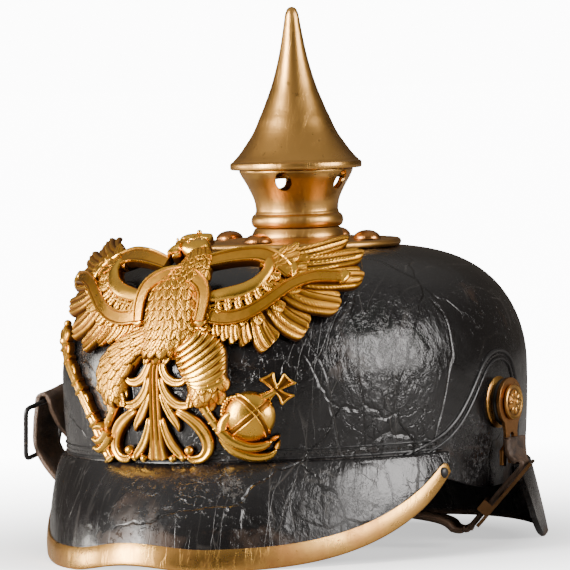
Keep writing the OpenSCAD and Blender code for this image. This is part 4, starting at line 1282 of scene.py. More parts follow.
@dataclass
class Spike:
    """The turned spike, its neck, plug, base plate and studs."""

    rim_r: float = 27.1
    rim_z: float = 153.2
    tip_z: float = 220.0
    tip_r: float = 2.4
    gap: float = 0.3
    plug_r: float = 15.0
    socket_h: float = 3.4
    neck_r: float = 17.2
    neck_wall: float = 1.4
    base_top: float = 125.8
    air_r: float = 3.5
    air_n: int = 5
    air_turn: float = -74.6
    air_lean: float = 82.0
    air_share: float = 0.735
    base_r: float = 42.5
    base_t: float = 1.0
    stud_ring: float = 32.5
    stud_r: float = 5.8
    leg_t: float = 0.8
    cone: tuple[Pair, ...] = (
        (0.113, 0.823), (0.16, 0.742), (0.21, 0.66), (0.26, 0.595), (0.315, 0.538), (0.365, 0.482),
        (0.42, 0.428), (0.5, 0.352), (0.58, 0.29), (0.66, 0.238), (0.74, 0.194), (0.82, 0.158),
        (0.9, 0.125), (0.955, 0.104),
    )  # fmt: skip
    neck: tuple[Pair, ...] = (
        (0, 1.1), (0.125, 1.02), (0.135, 0.985), (0.15, 1.03), (0.19, 1.082), (0.24, 1.1), (0.3, 1.09),
        (0.345, 1.05), (0.375, 0.995), (0.39, 0.985), (0.45, 0.99), (0.53, 1.012), (0.6, 1.05),
        (0.67, 1.1), (0.75, 1.165), (0.83, 1.24), (0.9, 1.305), (1, 1.375),
    )  # fmt: skip

    def build(self) -> None:
        """Builds every piece."""
        self.cone_and_rim()
        self.vented_neck()
        self.base_plate()
        self.studs()
        Piece("screw_plug_brass", TURNED_BRASS, Body.PLUG, ("spike_plug",), bevel=0.2).copy_node()
        Piece("crown_packing", PACKING, stands_for=("base_leather",)).copy_node()

    def cone_and_rim(self) -> None:
        """The spike: rolled rim, concave cone and rounded tip, hollow below."""
        seat, high = self.rim_z + self.gap, self.tip_z - self.rim_z - self.gap
        rim = [
            (0.0, 0.975), (0.004, 0.993), (0.01, 1.0), (0.034, 1.0), (0.041, 0.993), (0.046, 0.975),
            (0.05, 0.956), (0.056, 0.945), (0.066, 0.922), (0.075, 0.9), (0.092, 0.862),
        ]  # fmt: skip
        cone = [line_at(self.cone, share) for share in steps_of(60)]
        outer = [(r * self.rim_r, seat + h * high) for h, r in rim + cone]
        turns = [math.radians(a) for a in (15, 30, 45, 60, 75)]
        middle = self.tip_z - self.tip_r
        tip = [(self.tip_r * math.cos(a), middle + self.tip_r * math.sin(a)) for a in turns] + [(0.0, self.tip_z)]
        bore, lip = self.plug_r + 0.05, self.rim_r - 2.2
        inside = [(0.0, seat + 20), (5.0, seat + 20), (self.plug_r - 2.6, seat + 5), (bore, seat + 5), (bore, seat)]
        groove = [(self.plug_r + 2, seat), (self.plug_r + 2, seat + 3.5), (lip, seat + 1.6), (lip, seat)]
        shaper = Shaper("grime_and_shade")
        shaper.lathe(inside + groove + outer + tip, 160)
        shaper.carry("grime_and_shade", lambda p: 0.5 * bump_at((p.z - seat) / high, 0.055, 0.012))
        Piece("spike_brass", TURNED_BRASS, Body.SPIKE, ("spike",), sharp=32).make(shaper)

    def vented_neck(self) -> None:
        """The neck: turned with a bead and a foot, then bored for air."""
        high = self.rim_z - self.base_top
        foot = [(0.0, 1.1), (0.02, 1.1), (0.06, 1.075), (0.1, 1.045), (0.125, 1.022), (0.133, 0.985)]
        turns = [math.pi * (share - 0.5) for share in steps_of(14)[1:-1]]
        bead = [(0.24 + 0.105 * math.sin(a), 0.985 + 0.118 * math.cos(a)) for a in turns]
        flare = [line_at(self.neck[8:], share) for share in steps_of(40)]
        outer = [(r * self.neck_r, self.base_top + h * high) for h, r in foot + bead + flare]
        outer[-1] = (outer[-1][0] - 0.25, outer[-1][1])
        bore, step = self.plug_r + 0.05, self.rim_z - self.socket_h
        top = [(bore, self.rim_z), (bore, step), (self.neck_r * 1.27 - self.neck_wall, step)]
        low = [(h, r) for h, r in reversed(self.neck) if h < 0.85]
        inner = [(r * self.neck_r - self.neck_wall, self.base_top + h * high) for h, r in low]

        def grime_and_shade(p: Vector) -> float:
            """Dirt over the foot, over the bead and under the rim."""
            h = (p.z - self.base_top) / high
            return 0.8 * max(bump_at(h, 0.135, 0.02), bump_at(h, 0.36, 0.02), 0.5 * bump_at(h, 0.97, 0.04))

        shaper, cutter = Shaper("grime_and_shade"), Shaper()
        shaper.lathe(outer + top + inner, 180)
        shaper.carry("grime_and_shade", grime_and_shade)
        lean, r = math.radians(self.air_lean), self.air_r
        for k in range(self.air_n):
            turn = math.radians(k * 360 / self.air_n + self.air_turn)
            way = Vector((math.sin(lean) * math.cos(turn), math.sin(lean) * math.sin(turn), math.cos(lean)))
            start = Vector((0, 0, self.base_top + self.air_share * high)) + way * (self.neck_r - 6)
            cutter.lathe([(0, 0), (r, 0), (r, 20), (0, 20)], 48, stand_at(start, way))
        shaper.bore(cutter)
        Piece("spike_neck_brass", TURNED_BRASS, stands_for=("spike_neck",), sharp=32).make(shaper)

    def base_plate(self) -> None:
        """Round plate, slightly domed, with a rolled rim."""
        top, r, t = self.base_top, self.base_r, self.base_t
        upper = [(12, top), (self.neck_r, top)]
        upper += [(r * (0.43 + 0.5 * s), top - 0.1 - 2.5 * s**1.7) for s in steps_of(16)[1:-1]]
        turns = [math.radians(a) for a in range(110, -91, -20)]
        roll = [(r - 1.6 + 1.6 * math.cos(a), top - 3.1 + 1.6 * math.sin(a)) for a in turns]
        under = [(r - 3.4, top - 3.7), (r * 0.85, top - 1.9 - t), (r * 0.66, top - 0.9 - t), (12, top - t)]
        spots = [Vector((math.cos(a), math.sin(a))) * self.stud_ring for a in (k * math.pi / 2 for k in range(4))]

        def grime_and_shade(p: Vector) -> float:
            """Dirt inside the rim and round the neck, and painted shadow round each stud."""
            near = min((p.xy - spot).length for spot in spots)
            ringed = max(bump_at(p.xy.length, r - 3.3, 0.9), bump_at(p.xy.length, 19.4, 1.2))
            # The bump round each stud is a painted shadow; the rings inside the rim and round the neck are dirt.
            return 0.7 * max(ringed, bump_at(near, self.stud_r + 0.2, 1.2))

        shaper = Shaper("grime_and_shade")
        shaper.lathe(upper + roll + under, 180)
        shaper.carry("grime_and_shade", grime_and_shade)
        Piece("base_plate_brass", TURNED_BRASS, stands_for=("base_plate",), sharp=34).make(shaper)

    def studs(self) -> None:
        """Four domed split studs with their legs bent out inside."""
        shaper = Shaper("grime_and_shade")
        foot = self.base_top - 1.35
        leg = FORM.widest_z + FORM.dome_h - FORM.wall - 2.2
        high = self.stud_r * 0.6
        dome = [(self.stud_r, foot), (self.stud_r, foot + 0.25)]
        turns = [math.pi / 2 * j / 12 for j in range(12)]
        dome += [((self.stud_r - 0.15) * math.cos(a), foot + 0.3 + high * math.sin(a)) for a in turns]
        shank = [(0, leg), (1.5, leg), (1.5, foot)]
        for k in range(4):
            at = Matrix.Rotation(k * math.pi / 2, 4, "Z") @ Matrix.Translation((self.stud_ring * MM, 0, 0))
            fresh = shaper.lathe(shank + dome + [(0, foot + 0.3 + high)], 40, at)
            shaper.carry("grime_and_shade", lambda p: 0.8 * bump_at(p.z, foot, 0.5), fresh)
            for y in (-3, 3):
                spot = Matrix.Translation((0, y * MM, (leg + self.leg_t / 2) * MM))
                shaper.block(at @ spot @ sized(2.4, 6, self.leg_t))
        Piece("base_studs_copper", COPPER, stands_for=("base_studs",)).make(shaper)


# ---------------------------------------------------------------- side posts and strap


@dataclass
class StrapFittings:
    """Side posts with their washers, spacers and lugs, the strap and its two buckles."""

    post_y: float = 3.0
    post_z: float = 58.0
    post_r: float = 2.0
    wall: float = 3.0
    rosette_r: float = 7.2
    washer_r: float = 10.5
    washer_h: float = 2.3
    spacer_h: float = 2.2
    bed: float = 0.3
    gap: float = 0.3
    lug_t: float = 1.6
    strap_w: float = 16.0
    strap_t: float = 2.2
    run_tilt: float = 48.4
    run_turn: float = 23.6
    wire_r: float = 1.0
    far: tuple[Colour, ...] = (
        (-15.95, -20, 11.4), (-5.95, -21.6, 18), (1.05, -23.6, 25.5), (7.55, -26, 34), (11.25, -26.6, 41.5),
        (11.65, -26.2, 49), (11.25, -25.4, 55.8), (10.75, -24.8, 60.8), (8.45, -24.6, 62.9),
        (6.15, -24.2, 61.4), (5.25, -23.4, 57.4), (3.65, -20.4, 51.6), (1.05, -15.2, 45.6),
        (0.15, -10.4, 41), (0, -6.4, 37.2),
    )  # fmt: skip
    far_ways: tuple[Colour, ...] = (
        (-0.2, 1, 0), (-0.08, 1, 0), (-0.06, 1, 0), (-0.04, 1, 0), (0, 1, 0), (0.05, 1, 0.02), (0.1, 1, 0.08),
        (0.1, 1, 0.12), (0.08, 1, 0.16), (0.06, 1, 0.19), (0.06, 1, 0.19), (0.06, 1, 0.19), (0.06, 1, 0.19),
        (0.06, 1, 0.19), (0.06, 1, 0.22), (0.06, 1, 0.35), (0.05, 1, 0.6), (0.02, 1, 0.8), (0, 1, 1), (0, 1, 1),
    )  # fmt: skip
    wire_corners: tuple[Colour, ...] = (
        (14.65, -12.5, 39.5), (14.65, -37.6, 35.2), (9.55, -44.5, 56.6), (8.05, -15.4, 61.8),
    )  # fmt: skip

    @property
    def post_x(self) -> float:
        """Where the skull's outer face lies at a post."""
        share = (self.post_y - FORM.mid_y) / (FORM.half_l * FORM.rho(self.post_z))
        return FORM.half_w * FORM.rho(self.post_z) * math.sqrt(1 - share * share)

    @property
    def lug_x(self) -> float:
        """Where a lug's inner face lies."""
        return self.post_x - self.bed + self.washer_h + self.spacer_h + self.gap

    @property
    def strap_x(self) -> float:
        """Where the strap's middle lies on a lug."""
        return self.lug_x + self.lug_t + self.strap_t / 2

    def build(self) -> None:
        """Builds every piece."""
        self.posts()
        self.washers()
        self.strap()
        self.wire_buckle()
        Piece("strap_lugs_brass", BROWN_BRASS, Body.STRAP, ("strap_lugs",), 30, 0.3).copy_node()
        Piece("slider_buckle_brass", BRONZE, Body.SLIDER, ("near_buckle",), 30, 0.3).copy_node()

    def stands(self) -> list[Matrix]:
        """Matrices of both sides, from the middle outwards."""
        spot, up = Vector((0, self.post_y, self.post_z)), Vector((0, 0, 1))
        return [stand_at(spot, Vector((s, 0, 0)), up) for s in (1, -1)]

    def posts(self) -> None:
        """Posts: rosette head with petals, shaft, inner washer and bent legs."""
        head, inner, r = self.lug_x + self.lug_t + self.gap, self.post_x - self.wall, self.rosette_r
        face = [
            (r - 0.35, 0), (r, 0.3), (r + 0.05, 0.8), (r - 0.1, 1.25), (r - 0.5, 1.5), (r - 1.0, 1.45), (r - 1.5, 1.15),
            (r - 2.1, 1.1), (r - 3.0, 1.5), (2.6, 1.9), (1.7, 2.2), (0.0, 2.4),
        ]  # fmt: skip
        shaft = [(0.0, inner - 2.3), (self.post_r, inner - 2.3), (self.post_r, inner - 1.6), (6.0, inner - 1.6)]
        shaft += [(6.0, inner - 0.5), (self.post_r, inner - 0.5), (self.post_r, head)]
        post = shaft + [(reach, head + lift) for reach, lift in face]

        def grime_and_shade(p: Vector) -> float:
            """Dirt in the dish round the petals."""
            return 0.9 * bump_at(math.hypot(p.y - self.post_y, p.z - self.post_z), r - 1.9, 0.7)

        shaper = Shaper("grime_and_shade")
        for stand in self.stands():
            shaper.carry("grime_and_shade", grime_and_shade, shaper.lathe(post, 64, stand))
            for k in range(8):
                turn = stand @ Matrix.Rotation(k * math.pi / 4, 4, "Z")
                petal = turn @ Matrix.Translation((3.3 * MM, 0, (head + 1.55) * MM))
                shaper.ball(petal @ sized(1.75, 0.95, 0.75), 12, 8)
            shaper.ball(stand @ Matrix.Translation((0, 0, (head + 2.2) * MM)) @ sized(1.5, 1.5, 1.0), 16, 10)
            for y in (-4, 4):
                leg = stand @ Matrix.Translation((0, y * MM, (inner - 1.9) * MM))
                shaper.block(leg @ sized(2.6, 8, 0.8))
        Piece("side_post_rosettes", TRIM_BRASS, stands_for=("side_posts",), sharp=36).make(shaper)

    def washers(self) -> None:
        """Dished brass washers and black leather spacers."""
        x, y, r = self.post_x - self.bed, self.post_x - self.bed + self.washer_h, self.washer_r
        dish = [(r - 0.8, 0), (r, 0.45), (r + 0.02, 0.8), (r - 0.35, 1.1), (r - 1.1, 1.25), (r - 1.6, 1.5)]
        dish += [(r - 2.1, 2.0), (r - 2.6, self.washer_h)]
        disc = [(r - 1.5, 0), (r - 1.0, 0.35), (r - 0.85, 1.1), (r - 1.05, 1.8), (r - 1.6, self.spacer_h)]
        brass, leather = Shaper("grime_and_shade"), Shaper("wear")
        for stand in self.stands():
            for shaper, foot, rim in ((brass, x, dish), (leather, y, disc)):
                bore = [(self.post_r, foot + rim[-1][1]), (self.post_r, foot)]
                shaper.lathe(bore[1:] + [(reach, foot + lift) for reach, lift in rim] + bore[:1], 72, stand)
        Piece("side_washers_brass", TRIM_BRASS, stands_for=("side_washers",), sharp=36).make(brass)
        Piece("side_spacers_leather", BLACK_EDGE, stands_for=("side_spacers",), sharp=50).make(leather)

    def on_run(self, way_along: float) -> Vector:
        """Point on the strap's straight run.

        Args:
            way_along: Millimetres from the run's start.

        Returns:
            The point.
        """
        tilt, turn = math.radians(self.run_tilt), math.radians(self.run_turn)
        way = Vector((-math.cos(tilt) * math.cos(turn), -math.cos(tilt) * math.sin(turn), -math.sin(tilt)))
        return Vector((self.strap_x + 3.3, self.post_y, 32.5)) + way * way_along

    def far_side(self, places: Sequence[Colour]) -> list[Vector]:
        """Points given as a distance outside the strap's bed on the far lug, along Y and up."""
        return [Vector((-self.strap_x - 0.15 - a, b, c)) for a, b, c in places]

    def strap_route(self) -> tuple[list[Vector], list[Vector]]:
        """Points along the strap and the ways that its width lies."""
        drops = ((0.05, 44), (0.05, 40), (0.55, 37), (1.75, 34.6))
        near = [Vector((self.strap_x + a, self.post_y, z)) for a, z in drops]
        near += [self.on_run(s) for s in (0, 8, 16, 24, 32.6)]
        near += [near[-1] + Vector(q) for q in ((-1.33, -0.42, -0.6), (-5.2, -1.35, -0.85))]
        below = [Vector((self.on_run(34).x - 12.4, -9, 11.6))]
        below += [Vector(q) for q in ((30, -12.5, 16), (0, -14.4, 16.5), (-40, -17, 14), (-66, -18.6, 9.6))]
        turn = math.radians(self.run_turn)
        run_w = Vector((-math.sin(turn), math.cos(turn), 0))
        ways = [Vector((0, 1, 0)).lerp(run_w, s) for s in (0, 0, 0.1, 0.45)] + [run_w] * 6 + [Vector((-0.3, 1, 0))]
        return near + below + self.far_side(self.far), ways + [Vector(w) for w in self.far_ways]

    def strap_at(self, share: float, step: float) -> tuple[Vector, Vector, Vector]:
        """Reads the strap's route.

        Args:
            share: Share along it.
            step: Share to both sides that its way is read over.

        Returns:
            The point there, the way of the strap's width and the way out of its face.
        """
        points, ways = self.strap_route()
        way, wide = way_at(points, share, step), line_at(ways, share)
        wide = (wide - way * wide.dot(way)).normalized()
        return line_at(points, share), wide, way.cross(wide)

    def strap(self) -> None:
        """The strap: one band with soft edges, worn and ragged at its near end."""
        half, t = self.strap_w / 2, self.strap_t / 2
        upper = [(1, 0.35), (0.985, 0.75), (0.95, 1), (0.5, 1.04), (0, 1.05)]
        lower = [(0, -1), (0.5, -1), (0.95, -1), (0.985, -0.75), (1, -0.35)]
        left = [(-a, b) for a, b in upper[3::-1]] + [(-a, b) for a, b in lower[:0:-1]]
        stations = [self.strap_at(share, 0.002) for share in steps_of(220)]
        rings = []
        for k, (here, wide, out) in enumerate(stations):
            nib = 1.0 - 0.05 * math.sin(k * 1.7) - 0.04 * math.sin(k * 2.9) if k < 5 else 1.0
            rings.append([here + wide * half * nib * a + out * t * b for a, b in upper + left + lower])

        def wear(p: Vector) -> float:
            """Worn along both edges."""
            here, wide, _ = min(stations[::4], key=lambda q: (q[0] - p).length_squared)
            return 0.8 * max(0.0, (abs((p - here).dot(wide)) / half - 0.88) / 0.12)

        shaper = Shaper("wear")
        shaper.loft(rings, (2.6, 0.36))
        shaper.seal(0.0005)
        shaper.carry("wear", wear)
        Piece("chin_strap_leather", STRAP, Body.STRAP, ("chin_strap",), 50).make(shaper)
        stitches = Shaper("wear")
        for share in (0.9372, 0.9468):
            here, wide, out = self.strap_at(share, 0.004)
            for k in range(6):
                for s in (1, -1):
                    stand = stand_at(here + wide * (k - 2.5) * 2.3 + out * s * (t + 0.05), out * s, wide)
                    stitches.ball(stand @ sized(0.9, 0.3, 0.22), 6, 4)
        Piece("strap_end_stitches", TWINE, Body.STRAP).make(stitches)

    def wire_buckle(self) -> None:
        """Bent wire loop with rounded corners."""
        corners = self.far_side(self.wire_corners)
        path: list[Vector] = []
        for k, corner in enumerate(corners):
            after = corners[(k + 1) % len(corners)]
            back, ahead = (corners[k - 1] - corner).normalized(), (after - corner).normalized()
            start, end = corner + back * 3, corner + ahead * 3
            path += [start.lerp(corner, s).lerp(corner.lerp(end, s), s) for s in steps_of(5)]
            path += [end.lerp(after - ahead * 3, s) for s in steps_of(8)[1:-1]]
        shaper = Shaper("grime_and_shade")
        shaper.tube(path, self.wire_r, 12, closed=True)
        shaper.seal()
        Piece("wire_buckle_iron", IRON, Body.STRAP, ("far_buckle",)).make(shaper)


# ---------------------------------------------------------------- back


@dataclass
class BackFittings:
    """The spine down the back, its rivets and the air slide."""

    width: float = 13.0
    thick: float = 0.9
    flare: float = 0.78

    def build(self) -> None:
        """Builds every piece."""
        self.spine()
        Piece("spine_rivets_worn", COPPER, stands_for=("spine_rivets",)).copy_node()
        Piece("vent_frame_brass", SHEET_BRASS, Body.HELMET, ("vent_frame",), 30, 0.2).copy_node()
        Piece("vent_slide_brass", TRIM_BRASS, Body.SLIDE, ("vent_slide",), 30, 0.2).copy_node()

    def spine(self) -> None:
        """The spine: a strip with raised borders that follows the dome, wall and neck guard."""
        f = FORM
        spots = [f.dome(f.last_climb * share, 0) for share in steps_of(40)[37::-1]]
        spots += [(f.half_l * f.rho(z), z) for z in (66, 60, 55, 50, 45, 41, 37, f.guard_seam_z + 0.6)]
        points = [Vector((0, f.mid_y + reach, z)) for reach, z in spots]
        points += [f.guard(0, v) for v in (0.0, 0.1, 0.2, 0.33, 0.45, 0.55, 0.66, 0.75, 0.85, 0.95)]
        lengths = [0.0]
        for a, b in zip(points, points[1:]):
            lengths.append(lengths[-1] + (b - a).length)
        left = [(-1, 0.0), (-1, 0.9), (-0.9, 1.25), (-0.78, 1.05), (-0.7, 0.8), (-0.35, 0.85)]
        section = left + [(0, 0.88)] + [(-a, lift) for a, lift in reversed(left)] + [(0.5, 0.0), (-0.5, 0.0)]
        rings = []
        for k, (point, length) in enumerate(zip(points, lengths)):
            way = (points[min(k + 1, len(points) - 1)] - points[max(k - 1, 0)]).normalized()
            out = Vector((0, -way.z, way.y))
            share = length / lengths[-1]
            half = self.width / 2 - (self.width / 2 - 4.5) * share / self.flare
            half = 4.5 + 17 * (share - self.flare) if share > self.flare else half
            rings.append([point + Vector((half * a, 0, 0)) + out * (self.thick * lift - 0.05) for a, lift in section])
        shaper = Shaper("grime_and_shade")
        shaper.loft(rings, (1.8, 0.15))
        shaper.seal(0.001)
        shaper.carry("grime_and_shade", lambda p: 0.6 * bump_at(abs(p.x), 4.6, 0.8))
        Piece("rear_spine_brass", SHEET_BRASS, stands_for=("rear_spine",), sharp=40).make(shaper)


# ---------------------------------------------------------------- lining


@dataclass
class Lining:
    """Sweatband, fingers and cord inside the skull."""

    band_h: float = 24.0
    band_t: float = 1.4
    fingers: int = 12
    finger_t: float = 1.2
    cord_z: float = 102.0

    def build(self) -> None:
        """Builds every piece."""
        self.sweatband()
        self.finger_ring()
        self.cord()

    def inside(self, angle: float, z: float, depth: float) -> Vector:
        """Point inside the wall at a depth from its inner face."""
        f = FORM
        return f.ring(angle, f.half_l * f.rho(max(z, f.edge_z)) - f.wall - depth, z)

    def sweatband(self) -> None:
        """Leather band, a little wavy, with rolled edges and a row of stitches."""
        back = [(0.03, 0.0), (0.25, 0.0), (0.5, 0.0), (0.75, 0.0), (0.97, 0.0)]
        rounds = [(0, 0.5)] + back + [(1, 0.5)] + [(up, 1.0) for up, _ in reversed(back)]

        def ring(angle: float) -> list[Vector]:
            """Section of the band."""
            low, wave = FORM.edge_at(angle) + 1, 0.25 * math.sin(math.radians(angle * 9))
            depths = [0.1 + (self.band_t + wave * (1 - up)) * deep for up, deep in rounds]
            return [self.inside(angle, low + up * self.band_h, depth) for (up, _), depth in zip(rounds, depths)]

        shaper = Shaper("wear")
        shaper.loft([ring(2 * k) for k in range(180)], (0.6, 0.06), closed=True)
        shaper.seal(0.001)
        Piece("sweatband_leather", LINING, stands_for=("sweatband",), sharp=60).make(shaper)
        stitches = Shaper("wear")
        for k in range(150):
            angle = 2.4 * k
            z = FORM.edge_at(angle) + 3.2
            here, ahead = (self.inside(a, z, self.band_t + 0.15) for a in (angle, angle + 0.5))
            stand = stand_at(here, Vector((0, 0, 1)).cross(ahead - here), ahead - here)
            stitches.ball(stand @ sized(1.1, 0.35, 0.3), 6, 4)
        Piece("sweatband_stitches", TWINE).make(stitches)

    def finger_at(self, angle: float, u: float, depth: float) -> Vector:
        """Point on a finger.

        Args:
            angle: Angle in degrees from the front.
            u: From 0 at the band to 1 at the cord.
            depth: How far it lies inside the finger's outer face.

        Returns:
            The point.
        """
        low = FORM.edge_at(angle) + self.band_h - 3
        z = low + (self.cord_z - low) * math.sin(math.radians(90 * u * 0.97))
        reach = FORM.half_l * FORM.rho(60) - FORM.wall - self.band_t - 0.8
        reach = reach * math.cos(math.radians(90 * u * 0.86)) ** 0.55 - 1.5 * min(1.0, 5 * u) - depth
        return FORM.ring(angle, reach, z)

    def finger_ring(self) -> None:
        """Tapered leather fingers with rounded tips."""
        shaper = Shaper("wear")
        t = self.finger_t
        across = (-0.97, -0.5, 0, 0.5, 0.97)
        rounds = [(-1, 1.0), (-1, 0.2)] + [(a, 0.0) for a in across] + [(1, 0.2), (1, 1.0)]
        rounds += [(a, t) for a in reversed(across)]

        def ring(middle: float, u: float) -> list[Vector]:
            """Section of a finger."""
            wide = 150 / self.fingers * (1 if u < 0.3 else 1 - 0.45 * (u - 0.3))
            if u > 0.9:
                wide *= math.sqrt(max(0.05, 1 - ((u - 0.9) / 0.11) ** 2))
            cup = 0.5 * math.sin(math.pi * u)
            return [self.finger_at(middle + wide * a, u, deep + cup * (1 - a * a)) for a, deep in rounds]

        for k in range(self.fingers):
            middle = (k + 0.5) * 360 / self.fingers
            shaper.loft([ring(middle, u) for u in steps_of(26)], (0.09, 0.05))
        shaper.seal(0.001)
        Piece("liner_finger_leather", LINING, stands_for=("liner_fingers",), sharp=60).make(shaper)

    def cord(self) -> None:
        """Round cord through the fingers' tips."""
        points = []
        for k in range(96):
            angle = 3.75 * k
            wave = Vector((0, 0, 0.25 * math.sin(math.radians(angle * self.fingers))))
            points.append(self.finger_at(angle, 0.985, 0.6) + wave)
        shaper = Shaper("wear")
        shaper.tube(points, 1.1, 10, closed=True)
        shaper.seal()
        Piece("liner_cord_twine", TWINE, stands_for=("liner_cord",)).make(shaper)


# ---------------------------------------------------------------- stamped plate


class Section(Enum):
    """Cross-sections of the plate's stamped shapes."""

    ROUND = "round"
    FEATHER = "feather"
    RIBBON = "ribbon"
    FLUTED = "fluted"
    GROOVED = "grooved"
    KEEL = "keel"

    def at(self, v: float) -> Pair:
        """Height share and painted brightness across the section.

        Args:
            v: From -1 to 1 across the shape.

        Returns:
            The height from 0 to 1, and the painted brightness: high on ridges and lips, low in the painted shade and
            patina of the recesses.
        """
        off = abs(v)
        rim = max(0.0, 1 - off**4)
        if self is Section.FEATHER:
            groove = bump_at(v, 0, 0.13)
            return rim**0.6 * (1 - 0.28 * groove), rim**1.2 * (1 - 0.75 * groove)
        if self is Section.RIBBON:
            lip, shade = bump_at(off, 0.85, 0.1), bump_at(off, 0.65, 0.1)
            high = (0.35 + 0.65 * lip) * min(1.0, (1 - off) / 0.06)
            return high, 0.62 + 0.38 * lip - 0.5 * shade - 0.6 * (off > 0.985)
        if self is Section.FLUTED:
            wave = 0.5 + 0.5 * math.cos(3 * math.pi * v)
            return rim**0.5 * (0.62 + 0.38 * wave), rim * (0.12 + 0.88 * wave)
        if self is Section.GROOVED:
            hollow = bump_at(v, 0, 0.3)
            return rim**0.5 * (1 - 0.3 * hollow), rim * (1 - 0.45 * hollow)
        if self is Section.KEEL:
            return 1 - off, 0.1 + 0.9 * (1 - off)
        return rounded(v), min(1.0, 1.5 * rounded(v))


class Mound:
    """A domed leaf that smaller shapes lie on."""

    def __init__(self, line: Sequence[Pair], widths: Sequence[float], rise: float, base: float = 1.0) -> None:
        """Keeps the leaf's stations for reading heights."""
        self.line, self.widths, self.rise, self.base = line, widths, rise, base
        self.stations = [(line_at(line, share), max(0.3, curve_at(widths, share))) for share in steps_of(40)]

    def height(self, x: float, z: float) -> float:
        """Height of the leaf over a point of the sheet.

        Args:
            x: Place across the sheet.
            z: Its height.

        Returns:
            The leaf's height there.
        """
        spot = Vector((x, z))
        centre, wide = min(self.stations, key=lambda s: (s[0] - spot).length / s[1])
        off = min(1.0, (spot - centre).length / wide)
        return self.base + self.rise * math.sqrt(1 - off * off) if off < 1 else 0.6

    def at(self, along: float, across: float) -> tuple[Vector, Vector]:
        """Point at a share along and across the leaf, and the way that the leaf runs there."""
        way = way_at(self.line, along)
        return line_at(self.line, along) + beside_way(way) * curve_at(self.widths, along) * across, way


